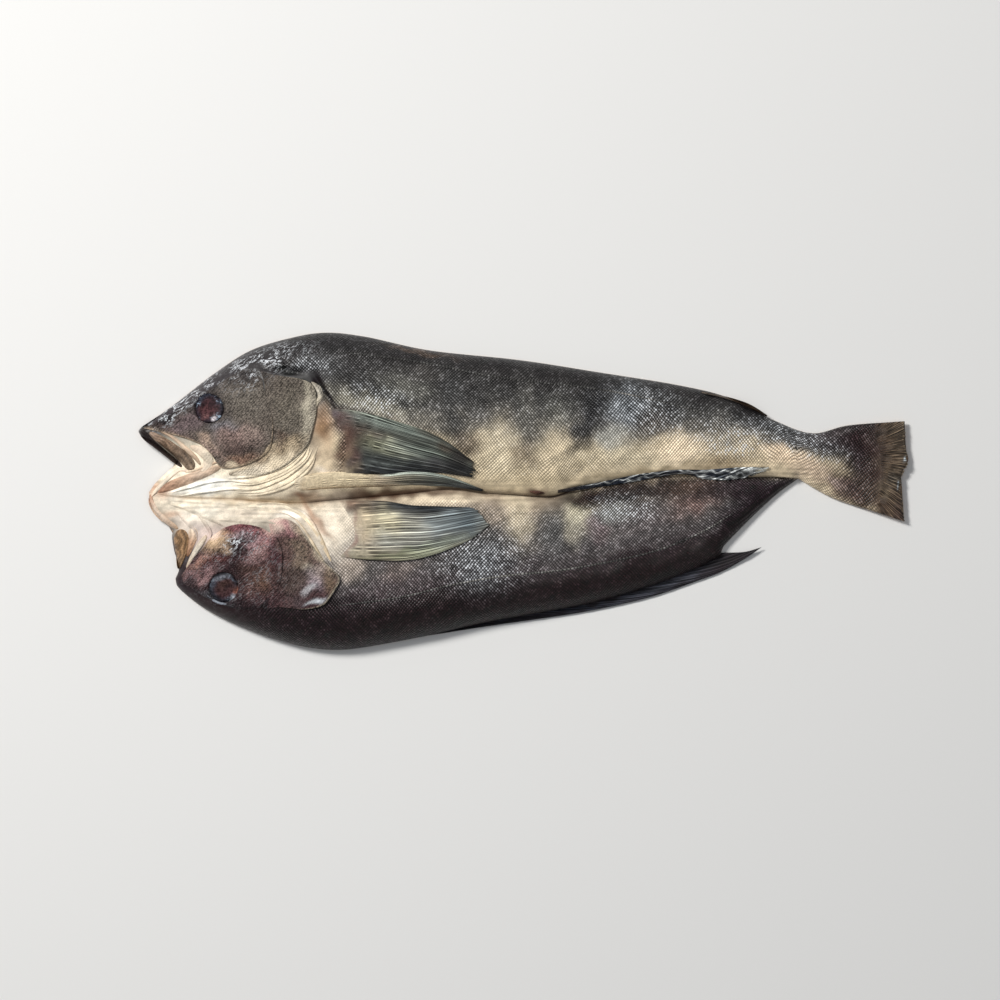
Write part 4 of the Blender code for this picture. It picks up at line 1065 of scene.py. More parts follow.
def flap(name, grid, root, edge, upper, lift, thick, finish, tint_of, first, last, rim=None):
    """A closed skin ruled from its root to its free edge. Its middle runs from under the skin to the lift,
    and half its thickness is h * sqrt(1 - bend^2) at the edge; first and last are the lift left at the ends
    of the edge. The last millimetre before the edge can have a colour of its own."""
    u = np.linspace(0, 1, grid[0])
    v = 1 - (1 - np.linspace(0, 1, grid[1])) ** 1.5
    x, y = patch(root, edge, np.array([root[0], edge[0]]), np.array([root[-1], edge[-1]]), v, u)
    width = np.linalg.norm(at_shares(edge, u) - at_shares(root, u), axis=1)[:, None]
    u, v = u[:, None], v[None, :]
    from_edge = (1 - v) * width
    ends = first + (1 - first) * soft_step(u / 0.25)
    ends = ends * (last + (1 - last) * ramp(u, 1, -0.25))
    sunk, buried = -0.9 * thick, PROUD - 0.5 * thick
    middle = sunk + (buried - sunk) * soft_step(v * width / CLEAR_OF_ROOT)
    middle = middle + (lift * ends - 0.5 * thick - buried) * ramp(v, 0.3, 0.7)
    bend = np.clip(1 - from_edge / (ROUNDED * thick), 0, 1)
    half_thick = 0.5 * thick * np.sqrt(1 - 0.96 * bend**2)
    z = skin_height(x, y) + middle
    tint = tint_of(x, y, upper)
    if rim is not None:
        tint = over(tint, rim, 0.7 * ends * bell(from_edge / 0.9))
    # its underside gets painted shade: the tint times 0.6
    thin_skin(name, x, y, z + half_thick, z - half_thick, tint, finish, wet=wetness(x, y), shade=0.6)


# %% Gill covers and cheeks
gill_edge = smooth_curve([
    (-124.7, 57.4), (-114.6, 56.0), (-108.6, 54.8), (-104.4, 52.6), (-102.2, 48.0), (-102.0, 39.5),
    (-103.6, 31.0), (-106.6, 22.4), (-113.1, 15.8), (-119.8, 11.1), (-128.7, 7.9), (-137.6, 6.9),
    (-145.0, 7.4),
])
gill_root = smooth_curve([
    (-132.0, 61.0), (-129.2, 52.4), (-129.2, 40.0), (-129.2, 27.7), (-133.6, 19.3), (-139.1, 14.3),
    (-146.0, 10.4),
])
low_gill_edge = smooth_curve([
    (-120.3, -12.8), (-113.0, -15.3), (-106.2, -24.0), (-98.6, -34.1), (-92.6, -40.0), (-90.4, -44.0),
    (-93.6, -50.0), (-98.6, -56.1), (-108.2, -58.3), (-119.0, -57.0),
])
low_gill_root = smooth_curve([
    (-127.7, -14.8), (-126.2, -21.7), (-125.2, -29.1), (-125.2, -39.0), (-126.2, -48.9), (-128.0, -58.0),
])
cheek_edge = smooth_curve([
    (-126.2, 42.5), (-123.9, 36.5), (-123.3, 29.0), (-125.2, 20.5), (-131.2, 15.4), (-140.0, 12.0),
    (-148.9, 11.4), (-153.9, 17.8), (-158.3, 22.2), (-164.7, 25.2), (-174.6, 28.2), (-183.5, 30.1),
    (-188.0, 31.1),
])
cheek_root = smooth_curve([
    (-129.2, 56.8), (-136.1, 61.8), (-142.0, 59.8), (-148.9, 55.8), (-154.9, 51.9), (-159.8, 48.9),
    (-164.7, 45.9), (-169.7, 43.0), (-174.6, 40.0), (-180.6, 36.6), (-186.5, 33.1),
])
low_cheek_edge = smooth_curve([
    (-169.2, -41.5), (-165.7, -37.0), (-161.8, -32.1), (-157.8, -27.7), (-155.4, -24.2), (-151.4, -20.7),
    (-147.0, -17.8), (-139.1, -16.3), (-128.9, -18.3), (-121.3, -24.0), (-118.8, -31.6), (-119.3, -42.5),
    (-121.3, -48.9),
])
low_cheek_root = smooth_curve([
    (-167.7, -47.4), (-161.8, -51.4), (-155.9, -54.8), (-149.9, -57.3), (-144.0, -59.3), (-138.1, -59.8),
    (-132.1, -58.8), (-128.2, -54.8),
])
HEAD_PLATES = [
    # name, root, edge, on the upper head, lift, thickness, lift left at both ends, colour of the rim
    ("gill_cover_upper", gill_root, gill_edge, True, 1.5, 1.0, 0.35, 0.1, (168, 160, 142)),
    ("gill_cover_lower", low_gill_root, low_gill_edge, False, 1.8, 1.0, 0.1, 0.35, (160, 152, 134)),
    ("cheek_upper", cheek_root, cheek_edge, True, 1.1, 0.8, 0.35, 0.6, (172, 152, 128)),
    ("cheek_lower", low_cheek_root, low_cheek_edge, False, 1.4, 0.8, 0.6, 0.35, None),
]
for name, root, edge, upper, lift, thick, first, last, rim in HEAD_PLATES:
    flap(name, COVER_GRID, root, edge, upper, lift, thick, head_finish, head_tint, first, last, rim)

# %% [markdown]
# ## Folds of the throat
# The skin under the gills is stretched over thin bones like the silk of a fan. It falls into six long folds
# that run together at the gill opening, with shorter ones below them and round the mouth. A bump could only
# hint at folds that overlap, so they are the same kind of flap, each ruled from a line just beside its edge.

# %% Throat folds
FIRST_FOLD = [(-148.9, 6.4), (-135.1, 6.4), (-123.7, 9.4), (-114.9, 13.3), (-108.9, 18.3), (-106.0, 25.2)]
LAST_FOLD = [(-141.0, -3.0), (-129.2, -2.0), (-119.3, 1.0), (-110.9, 5.4), (-104.5, 12.3), (-101.5, 20.7)]
FOLDS = 6
LEAST_FOLD = 1.3  # how far a fold's root stays away from its edge at the ends


def left_of(line):
    """The unit step to the left of a line, at each of its points."""
    run = np.gradient(line, axis=0)
    return np.column_stack([-run[:, 1], run[:, 0]]) / np.linalg.norm(run, axis=1)[:, None]


def throat_tint(x, y, upper):
    """The colour of the half below, and a warm light painted on the fan of folds."""
    return lay(body_tint(x, y, upper), x, y, [(-118.3, 11.4, 17.8, 8.9, 24, (246, 230, 200), 0.85)])


def fold_row(name, upper, root_away, lines):
    """One flap for each line, its root away to one side by up to so many millimetres."""
    for k, line in enumerate(lines):
        fold_edge = smooth_curve(line)
        bow = np.sin(np.pi * np.linspace(0, 1, len(fold_edge)))
        away = np.sign(root_away) * LEAST_FOLD + root_away * bow
        fold_root = fold_edge + left_of(fold_edge) * away[:, None]
        flap(f"{name}_{k}", FOLD_GRID, fold_root, fold_edge, upper, 0.95, 0.7, membrane_finish,
             throat_tint, 0.3, 0.45)


draw = np.random.default_rng(5)
shares = np.linspace(0, 1, FOLDS)[:, None, None]
fan_lines = np.array(FIRST_FOLD) * (1 - shares) + np.array(LAST_FOLD) * shares
fan_lines += draw.normal(0, 0.6, fan_lines.shape)
fold_row("throat_fold_upper", True, 3.2, fan_lines)
fold_row("throat_fold_lower", False, -3.0, [
    [(-142.0, -8.4), (-126.2, -5.9), (-111.4, -8.4), (-103.5, -15.3), (-99.0, -25.7), (-94.6, -34.1)],
    [(-144.0, -11.4), (-129.2, -9.9), (-116.3, -11.9), (-108.9, -18.8), (-103.5, -28.2), (-99.5, -35.6)],
    [(-151.9, -14.3), (-140.0, -13.3), (-129.2, -13.8), (-121.3, -16.3)],
])
fold_row("mouth_fold", False, -1.8, [
    [(-176.6, -5.9), (-164.7, -8.9), (-153.9, -13.8), (-147.0, -17.8)],
    [(-178.1, -4.4), (-164.7, -4.4), (-149.9, -5.4), (-137.1, -7.4)],
    [(-161.8, -10.4), (-156.8, -15.3), (-153.9, -20.3), (-154.9, -24.7)],
    [(-171.7, -10.4), (-166.7, -14.3), (-161.8, -19.3), (-160.8, -24.7)],
])
fold_row("chin_fold", True, 1.8, [
    [(-176.6, -1.5), (-164.7, 1.5), (-152.9, 4.4), (-140.0, 4.9)],
    [(-171.7, -3.0), (-157.8, -1.0), (-146.0, 0.5), (-135.1, 0.5)],
])

# %% [markdown]
# ## Jaws
# The jaw bones show through tight skin as rounded bars round the open mouth. A
# round tube along a curve would stand too proud of the skin. So each is a strap:
# a crowned profile carried along a path on the skin, narrow and low at both ends.

# %% Straps
STRAP_GRID = ((120, 26))


def strap(name, finish, wide, high, tint_of, path, blunt=6.0, sink=0.3, wave=0.0, grain=0.0):
    """A closed bar along a path: half width wide * (1 - |2u - 1|^blunt)^0.5, height high * sqrt(1 - v^2). Its
    colour is a row of colours from end to end, or a function of x and y; grain streaks it lengthwise and
    darkens it towards both sides."""
    u = np.linspace(0, 1, STRAP_GRID[0])
    v = np.sin(np.linspace(-0.5, 0.5, STRAP_GRID[1]) * np.pi)
    line = at_shares(smooth_curve(path), u)
    size = np.sqrt(np.clip(1 - np.abs(2 * u - 1) ** blunt, 0, 1)) + 0.02
    across = np.interp(u, np.linspace(0, 1, len(wide)), wide) * size
    side = left_of(line) * across[:, None]
    x, y = line[:, :1] + side[:, :1] * v, line[:, 1:] + side[:, 1:] * v
    foot = skin_height(x, y) - sink
    crown = (high * size)[:, None] * np.sqrt(np.clip(1 - v**2, 0, 1))
    if callable(tint_of):
        tint = tint_of(x, y)
    else:
        tint = fade(u, list(zip(np.linspace(0, 1, len(tint_of)), tint_of)))[:, None]
    streak = 1 + grain * np.cos(7 * v + 1.5 * ripples(x, y, 32, 9)) - grain * 0.5 * v**2
    reach = (u * np.linalg.norm(np.diff(line, axis=0), axis=1).sum())[:, None]
    high_side = foot + crown * (1 + wave * ripples(x, y, 31, 5))
    thin_skin(name, x, y, high_side, foot - 0.4, tint * streak[..., None], finish, (reach, 0 * x, 1))


# %% Small ridges of the heads
jaw_finish = head_skin("jaw skin", 0.36, 0.3)
strap("gill_tip", jaw_finish, (0.8, 1.5, 1.4, 1.0, 0.6), 1.3,
      ((150, 142, 128), (214, 206, 190), (206, 194, 172), (160, 146, 124)),
      [(-104.5, 53.8), (-101.0, 50.4), (-100.0, 46.4), (-102.0, 43.0), (-103.0, 38.0)], wave=0.2)
cheek_fan = np.array([(-142.0, -39.5), (-135.6, -35.6), (-128.2, -31.6)])
CHEEK_STEP = np.array([(0.6, -2.2), (0.8, -2.0), (0.9, -1.6)])
RIDGES = [
    # name, half widths, height, colours from end to end, path, how uneven
    ("snout_ridge", (0.5, 1.3, 1.2, 0.8, 0.4), 0.9,
     ((112, 84, 84), (130, 98, 98), (104, 76, 78), (70, 50, 52)),
     [(-167.7, -40.0), (-161.3, -37.5), (-153.9, -34.1), (-145.5, -30.1), (-138.1, -27.7)], 0.15),
    *((f"cheek_ridge_{k}", (0.3, 0.9, 0.4), 0.7, ((78, 58, 58), (124, 100, 98), (96, 68, 70)),
       cheek_fan + k * CHEEK_STEP, 0.1) for k in range(3)),
    # the socket's lower rim: a low ridge, painted pale blue as a highlight
    ("socket_rim", (0.3, 0.9, 0.8, 0.3), 0.7, ((70, 70, 78), (136, 142, 152), (96, 98, 106)),
     [(-157.8, -49.9), (-154.4, -52.9), (-149.4, -55.3), (-143.0, -56.3)], 0.2),
]
for name, wide, high, colours, path, wave in RIDGES:
    strap(name, jaw_finish, wide, high, colours, path, blunt=2.0, wave=wave)
STRANDS = [
    # half widths, colours from end to end, path
    ((0.8, 1.1, 1.2, 1.3, 1.2, 0.9), ((226, 214, 192), (240, 230, 208), (226, 208, 180), (196, 176, 146)),
     [(-142.0, -8.4), (-129.2, -6.9), (-118.3, -7.4), (-108.9, -11.9), (-102.5, -19.3), (-98.1, -27.7),
      (-94.6, -35.1)]),
    ((0.5, 0.8, 1.0, 1.0, 0.9, 0.7), ((214, 190, 172), (216, 200, 178), (190, 174, 148), (150, 134, 110)),
     [(-129.2, -10.9), (-119.3, -11.4), (-111.9, -15.3), (-106.5, -22.2), (-101.5, -30.1), (-97.1, -38.0),
      (-92.6, -44.0)]),
]
for k, (wide, colours, path) in enumerate(STRANDS):
    strap(f"gill_strand_{k}", membrane_finish, wide, 1.0, colours, path, wave=0.12, grain=0.1)
strap("vent", jaw_finish, (0.5, 1.0, 0.5), 1.0, ((96, 68, 56), (64, 42, 38)),
      [(2.7, -0.2), (6.7, -0.7), (10.6, -1.0)], blunt=2.0, wave=0.3)

# %% Bars of the jaws
JAW_BARS = [
    # name, slot, half widths, height, colours from end to end, path, how uneven, how streaked
    ("lip_upper", "skin", (2.4, 1.4, 1.2, 1.3), 1.3, ((34, 28, 28), (44, 36, 34), (60, 50, 44)),
     [(-189.4, 30.1), (-186.0, 26.2), (-180.1, 21.2), (-174.1, 16.3), (-168.7, 11.9)], 0.0, 0.0),
    ("jaw_bone_outer", "skin", (1.5, 2.3, 2.9, 3.3), 1.9,
     ((160, 138, 122), (126, 104, 86), (110, 94, 80), (136, 118, 100)),
     [(-185.0, 29.1), (-177.1, 23.7), (-171.2, 19.3), (-166.2, 14.8), (-163.3, 10.4)], 0.14, 0.3),
    ("jaw_bone_inner", "skin", (0.6, 0.9, 1.2, 1.1), 1.2, ((150, 124, 106), (212, 190, 166), (184, 158, 134)),
     [(-180.6, 30.1), (-173.6, 26.7), (-167.7, 21.7), (-162.3, 16.8), (-159.3, 12.8)], 0.1, 0.0),
    ("mouth_corner", "throat", (1.2, 2.6, 2.4, 1.4), 1.3, ((200, 180, 160), (236, 222, 200), (226, 206, 184)),
     [(-164.7, 22.2), (-158.3, 19.3), (-155.4, 15.3), (-156.8, 11.4), (-160.3, 7.9)], 0.1, 0.0),
    ("jaw_band_upper", "throat", (1.7, 2.4, 2.5, 2.3, 1.7), 1.3,
     ((176, 132, 108), (190, 158, 134), (214, 190, 168), (196, 170, 146)),
     [(-181.1, -0.5), (-173.6, 3.0), (-165.7, 5.9), (-157.3, 9.1), (-148.9, 12.3)], 0.1, 0.14),
    ("jaw_rim", "throat", (1.0, 1.2, 1.1, 1.0), 1.2, ((220, 198, 176), (232, 220, 200), (222, 200, 180)),
     [(-184.5, -3.0), (-179.6, 2.5), (-174.6, 7.4), (-170.2, 10.6), (-165.7, 9.9)], 0.0, 0.0),
    ("jaw_rim_inner", "throat", (0.6, 0.8, 0.6), 0.9, ((226, 208, 184), (220, 196, 170), (196, 168, 144)),
     [(-167.7, 9.4), (-161.8, 10.4), (-155.4, 12.8), (-149.4, 14.8)], 0.0, 0.0),
    ("chin_rim", "throat", (1.2, 1.6, 1.5, 1.3), 1.1,
     ((176, 132, 108), (222, 202, 182), (214, 190, 168), (176, 148, 122)),
     [(-184.5, -1.5), (-184.0, -5.9), (-181.1, -10.9), (-176.6, -14.8), (-170.7, -18.8)], 0.0, 0.0),
    ("jaw_bone_low", "skin", (3.2, 4.0, 3.4, 2.2, 1.0), 1.8,
     ((150, 120, 90), (128, 100, 72), (136, 108, 80), (116, 94, 72)),
     [(-169.7, -18.8), (-169.2, -23.2), (-169.2, -28.7), (-169.9, -34.1), (-170.9, -38.5)], 0.1, 0.4),
    ("jaw_bone_low_inner", "throat", (1.2, 1.6, 1.2, 0.8), 1.3,
     ((206, 186, 164), (218, 208, 192), (176, 156, 136)),
     [(-156.4, -21.7), (-159.8, -26.7), (-163.3, -32.1), (-166.7, -38.0)], 0.0, 0.1),
    ("jaw_lining_low", "throat", (2.4, 2.6, 1.8, 1.0), 0.9, ((220, 204, 184), (176, 142, 116), (112, 80, 58)),
     [(-163.3, -17.8), (-163.3, -22.2), (-164.7, -27.2), (-166.2, -32.6)], 0.0, 0.2),
]
for name, slot, wide, high, colours, path, wave, grain in JAW_BARS:
    strap(name, jaw_finish, wide, high, colours, path, wave=wave, grain=grain)

# %% [markdown]
# ## Fins
# A fin is a fan of thin bony rays with a film of skin between them. The rays could be lines drawn on a flat
# sheet, but real ones catch the light, so they are ribs in the sheet. The grid follows the rays: one
# direction runs from the root to the tip, the other across the fan.

# %% Fin finish
def fin_skin(name, roughness):
    """Reads rows as (ray count across, share of the way to the tip, how far the rays show). Each ray is pale
    on its crown, partly the ray's own lighter colour and partly a painted highlight, and dark between, splits
    in two on its way out, and carries long streaks."""
    f = Finish(name, Specular_IOR_Level=0.2)
    ray, reach, shown = f.parts(f.read("rows", AS_VECTOR))
    sway = f.noise(f.node("CombineXYZ", {}, [ray * 0.3, reach * 2.5, 0.0]), 2.0)
    count = ray + sway * 0.4
    one = (count * (2 * np.pi)).sum("COSINE") * 0.5 + 0.5
    two = (count * (4 * np.pi)).sum("COSINE") * 0.5 + 0.5
    crown = one * one * one * (1 - reach * 0.45) + two * two * (reach * 0.4 + 0.12)
    streak = f.noise(f.node("CombineXYZ", {}, [ray * 0.9, reach * 1.2, 0.0]), 4.0, 0.6).step(0.36, 0.64)
    hair = f.noise(f.node("CombineXYZ", {}, [ray * 3.2, reach * 2.0, 4.0]), 2.0).step(0.42, 0.58)
    drawn = (0.02 + crown * 1.75 + streak * 0.8) * (hair * 1.2 + 0.5)
    spots = (f.noise(f.place(0.8), 4.0, 0.7).step(0.38, 0.62) * 0.3 + 0.85) * (1 - shown)
    light = drawn * shown + spots
    normal = f.bump((crown + hair * 0.5) * shown + spots, 0.0004, 0.9)
    gloss = roughness - streak * 0.14
    return f.done(Base_Color=f.scaled(f.read("tint"), light), Roughness=gloss, Normal=normal)


fin_finish = fin_skin("fin skin", 0.42)
print("fin skin has", len(fin_finish.node_tree.nodes), "nodes")

# %% Fins as fans of rays
WIDE_FIN, LONG_FIN = (((150, 162), (230, 80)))


def fin(name, grid, below, above, root, tip, rays, tint_of, level, thick=0.5, ribs=0.3, fray=1.2, curl=0.4,
        seed=7, slant=0.0, dome=0.0, bare=0.1, hub=None):
    """A closed fan of rays between its two side lines, its root and its tip; a side given as a list becomes a
    smooth curve through its points. The top carries the ribs as ribs * |cos| of the ray count; level gives
    the height of its middle from x, y, the reach u and the spread v. The rays begin after the bare share of
    the reach. Where there is a hub (x, y, angle), they spread from that point and fill that angle."""
    sides = [smooth_curve(side) if isinstance(side, list) else side for side in (below, above, root, tip)]
    u, v = np.linspace(0, 1, grid[0]), np.linspace(0, 1, grid[1])
    x, y = patch(*sides, v, u)
    u, v = u[:, None], v[None, :]
    count = rays * v + slant * u
    if hub is not None:
        count = rays * np.arctan2(y - hub[1], x - hub[0]) / hub[2]
    rng = np.random.default_rng(seed)
    torn = np.interp(v * rays * 2, np.arange(rays * 2 + 1), rng.uniform(-1, 0.4, rays * 2 + 1))
    torn = fray * (torn + 0.5 * np.abs(np.cos(np.pi * rays * v))) * u**8
    run_x, run_y = np.gradient(x, axis=0), np.gradient(y, axis=0)
    size = np.maximum(np.hypot(run_x, run_y), 1e-6)
    x, y = x + torn * run_x / size, y + torn * run_y / size
    shown = soft_step((u - 0.3 * bare + 0.3 * bare * ripples(x, y, seed + 1, 6)) / bare)
    rib = np.abs(np.cos(np.pi * count)) ** 1.5
    split = np.abs(np.cos(2 * np.pi * count)) ** 1.5
    rib = (rib * (1 - 0.6 * u) + split * 0.6 * u) * shown
    side = np.sqrt(np.clip(1 - (2 * v - 1) ** 8, 0, 1))
    taper = (0.4 + 0.6 * soft_step(u / 0.15)) * (1 - 0.45 * u) * (1 - 0.6 * ramp(u, 0.96, 0.04))
    half_thick = 0.5 * thick * taper * (0.3 + 0.7 * side)
    crown = dome * np.sqrt(np.clip(1 - (2 * v - 1) ** 2, 0, 1))
    wave = curl * ripples(x, y, seed, 13, 75, 60) * soft_step(u / 0.3)
    middle = level(x, y, u, v) + wave + crown
    tint = tint_of(x, y, u + 0 * x, v + 0 * x)
    high = middle + half_thick + ribs * rib * side
    thin_skin(name, x, y, high, middle - half_thick, tint, fin_finish, (count, u, shown))


# %% Pectoral fins
def on_skin(x, y, u, v):
    """A fin's root is sunk in the skin; its blade stands
    just clear of it, and a little more towards the tip."""
    return skin_height(x, y) - 0.6 + 1.2 * soft_step(u / 0.12) + 0.4 * u


def rooted(tint, x, y, u, upper, reach):
    """A fin's colour that grows out of the skin's own colour over the given reach."""
    share = soft_step((u + 0.1 * reach * ripples(x, y, 62, 6)) / reach)[..., None]
    skin = body_tint(x, y, upper)
    return skin + (tint - skin) * share


def upper_fin_tint(x, y, u, v):
    """Slate blue with paler and browner streaks, violet where it leaves the skin."""
    ground = fade(v, [
        (0.0, (50, 51, 53)), (0.14, (76, 80, 78)), (0.24, (60, 63, 62)), (0.42, (94, 97, 88)),
        (0.6, (82, 76, 68)), (0.78, (110, 117, 110)), (0.9, (100, 110, 106)), (1.0, (136, 142, 128)),
    ])
    ground = lay(ground, x, y, [
        (-95.6, 38.5, 9.9, 4.4, -10, (84, 68, 74), 0.9),
        (-86.2, 25.2, 4.9, 14.8, 6, (92, 66, 60), 0.85),
        (-84.2, 11.9, 5.4, 2.5, 0, (118, 106, 92), 0.85),
        (-79.8, 30.1, 6.9, 7.9, 0, (66, 54, 48), 0.7),
        (-68.9, 22.2, 9.9, 4.0, -18, (138, 138, 114), 0.7),
        (-63.5, 33.1, 21.7, 3.0, -18, (134, 142, 132), 0.75),
        (-50.1, 21.2, 16.8, 4.9, -20, (116, 124, 116), 0.7),
        (-61.0, 19.8, 8.9, 3.0, -18, (156, 160, 146), 0.7),
        (-41.2, 12.8, 9.9, 3.0, -14, (98, 98, 98), 0.75),
        (-31.4, 15.3, 7.9, 7.9, 0, (44, 40, 40), 0.85),
        (-43.2, 27.2, 12.8, 3.0, -28, (82, 72, 62), 0.6),
        (-56.1, 10.9, 29.6, 2.0, 0, (44, 45, 48), 0.7),
    ])
    return rooted(ground, x, y, u, True, 0.14)


def lower_fin_tint(x, y, u, v):
    """Paler than the upper one: olive grey at its root, blue grey at its tip, dark along the fold."""
    ground = fade(v, [
        (0.0, (120, 114, 96)), (0.12, (150, 144, 126)), (0.3, (130, 130, 122)), (0.55, (148, 145, 132)),
        (0.75, (120, 120, 114)), (0.9, (60, 62, 66)), (1.0, (38, 40, 44)),
    ])
    ground = lay(ground, x, y, [
        (-78.8, -16.3, 7.4, 12.8, 0, (186, 168, 142), 0.8),
        (-84.7, -21.2, 1.7, 12.8, -6, (128, 96, 86), 0.85),
        (-86.7, -5.9, 7.9, 3.5, 0, (150, 126, 108), 0.9),
        (-33.3, -21.2, 14.8, 6.9, 10, (104, 112, 116), 0.5),
        (-68.9, -14.3, 9.9, 6.9, 0, (176, 168, 140), 0.7),
        (-80.8, -7.4, 10.9, 3.0, 0, (70, 62, 56), 0.7),
        (-37.3, -15.3, 14.8, 5.9, 10, (126, 138, 144), 0.7),
        (-26.4, -15.3, 6.9, 6.9, 20, (92, 106, 114), 0.7),
        (-43.2, -27.2, 15.8, 3.0, 16, (160, 168, 152), 0.6),
        (-58.5, -31.1, 21.7, 2.0, 8, (112, 116, 90), 0.6),
        (-46.2, -7.9, 24.7, 2.0, -4, (40, 46, 50), 0.75),
    ])
    return rooted(ground, x, y, u, False, 0.12)


fin("pectoral_upper", WIDE_FIN,
    [(-93.6, 9.4), (-84.7, 8.6), (-68.4, 8.4), (-53.6, 8.9), (-41.2, 8.9), (-26.4, 6.9)],
    [(-100.5, 39.5), (-90.6, 40.3), (-79.8, 39.0), (-68.4, 36.1), (-58.5, 33.1), (-47.7, 29.6),
     (-36.8, 23.7), (-29.9, 18.3)],
    [(-93.6, 9.4), (-91.1, 17.8), (-91.6, 28.2), (-100.5, 39.5)],
    [(-26.4, 6.9), (-24.5, 11.4), (-25.9, 15.3), (-29.9, 18.3)],
    14, upper_fin_tint, on_skin, fray=2.6, curl=0.26, bare=0.3, slant=4.4)
fin("pectoral_lower", WIDE_FIN,
    [(-93.6, -31.6), (-82.3, -33.3), (-68.4, -34.1), (-57.6, -34.1), (-45.2, -31.6), (-30.4, -26.2)],
    [(-94.6, -4.9), (-80.8, -4.7), (-68.4, -4.9), (-55.6, -6.9), (-43.2, -7.4), (-30.4, -7.9)],
    [(-93.6, -31.6), (-87.2, -24.2), (-87.7, -15.3), (-94.6, -4.9)],
    [(-30.4, -26.2), (-22.5, -21.2), (-18.5, -17.8), (-20.5, -12.3), (-26.4, -8.4), (-30.4, -7.9)],
    14, lower_fin_tint, on_skin, seed=9, fray=2.0, bare=0.26, slant=-2.0)

# %% Belly and anal fins
def over_fold(x, y, u, v):
    """The belly fin lies on the upper half and bridges the
    crease: near the fold it keeps the height further up."""
    clear = np.maximum(y, read_y(x, SEAM) + 2.4)
    return half_height(x, clear, True) + 0.1 - 0.8 * (1 - soft_step(u / 0.06)) - 0.6 * (1 - v) ** 2


def belly_fin_tint(x, y, u, v):
    """Cream skin up to its middle with painted shadow along its lower edge, then a grey blade with a painted
    highlight along its ridge.
    """
    ground = fade(u, [
        (0.0, (190, 160, 126)), (0.08, (222, 204, 172)), (0.38, (214, 198, 166)), (0.46, (188, 172, 148)),
        (0.56, (152, 144, 126)), (0.75, (124, 128, 120)), (1.0, (48, 50, 54)),
    ])
    end = ramp(u, 0.5, 0.15)
    # painted shadow along the lower edge of the cream lobe
    ground = over(ground, (150, 118, 84), 0.6 * (1 - soft_step(v / 0.25)) * (1 - end))
    ground = over(ground, (44, 46, 48), 0.7 * bell((v - 0.24) / 0.24) * end)
    # a painted highlight along the blade's ridge
    ridge = bell((v - 0.9) / 0.13) * ramp(u, 0.42, 0.1) * ramp(u, 1.0, -0.15)
    return rooted(over(ground, (196, 206, 194), 0.9 * ridge), x, y, u, True, 0.12)


fin("belly_fin", LONG_FIN,
    [(-114.4, -0.5), (-95.6, 1.0), (-72.9, 2.0), (-51.1, 2.5), (-36.3, 2.0), (-20.5, -0.2)],
    [(-115.3, 6.4), (-94.6, 9.4), (-70.9, 8.4), (-53.6, 9.9), (-37.3, 7.4), (-19.5, 0.7)],
    [(-114.4, -0.5), (-115.3, 6.4)], [(-20.5, -0.2), (-19.5, 0.7)],
    7, belly_fin_tint, over_fold, thick=0.6, ribs=0.22, fray=0.6, curl=0.12, dome=0.9, seed=12, bare=0.5)


def over_lip(x, y, u, v):
    """The anal fin hangs from the upper half's belly edge down to the lower half, in fine crumpled pleats."""
    low = along(x, LOWER_SEAM_LEVEL) + 1.2
    drape = low + v * (along(x, UPPER_SEAM_LEVEL) - low)
    drape = np.maximum(drape, skin_height(x, y) + 0.35)
    return drape + 0.3 * ripples(x, y, 15, 3.2, 25, 60) * soft_step(u / 0.1) + 0.3 * np.sin(np.pi * v)


def anal_fin_tint(x, y, u, v):
    """Blue black, with two wandering white lines where the pleats catch the light."""
    ground = fade(u, [
        (0.0, (74, 66, 62)), (0.1, (58, 60, 68)), (0.3, (48, 55, 68)), (0.6, (44, 46, 54)),
        (0.8, (54, 60, 70)), (0.93, (110, 112, 108)), (1.0, (206, 196, 168)),
    ])
    top_line = bell((v - 0.78 + 0.14 * ripples(x, y, 16, 6)) / 0.13)
    low_line = bell((v - 0.22 + 0.16 * ripples(x, y, 17, 5)) / 0.12) * ramp(u, 0.3, 0.05)
    return over(ground, (226, 230, 228), 0.9 * np.maximum(top_line * ramp(u, 0.08, 0.1), low_line))


fin("anal_fin", LONG_FIN,
    [(17.0, -1.0), (37.8, 2.0), (57.6, 5.2), (73.4, 7.9), (82.3, 7.9), (90.2, 5.9), (101.0, 5.4),
     (110.9, 6.9), (119.8, 9.9)],
    [(17.0, 0.5), (37.8, 4.4), (57.6, 8.4), (73.4, 10.4), (82.3, 10.6), (90.2, 10.6), (101.0, 11.4),
     (110.9, 11.9), (121.3, 11.9)],
    [(17.0, -1.0), (17.0, 0.5)], [(119.8, 9.9), (121.3, 11.9)],
    4, anal_fin_tint, over_lip, thick=0.5, ribs=0.2, fray=0.6, curl=0.1, seed=14, slant=-26.0, bare=0.04)

# %% Back fins
def on_ground(x, y, u, v):
    """The back fin lies flat beside the body, as thick as the cut edge of the skin."""
    return underside(x, y) + 0.55 + 0.35 * v


def back_fin_tint(x, y, u, v):
    """Black, with a blue sheen along its edge."""
    ground = fade(v, [(0.0, (30, 24, 26)), (0.35, (38, 35, 39)), (1.0, (34, 32, 37))])
    return lay(ground, x, y, [
        (67.4, -47.4, 29.6, 2.5, 22, (66, 68, 76), 0.8), (37.8, -55.8, 19.8, 1.5, 12, (56, 58, 66), 0.8),
        (8.2, -59.8, 24.7, 1.2, 8, (58, 63, 76), 0.8), (101.0, -35.1, 13.8, 3.0, 24, (42, 36, 38), 0.7),
    ])


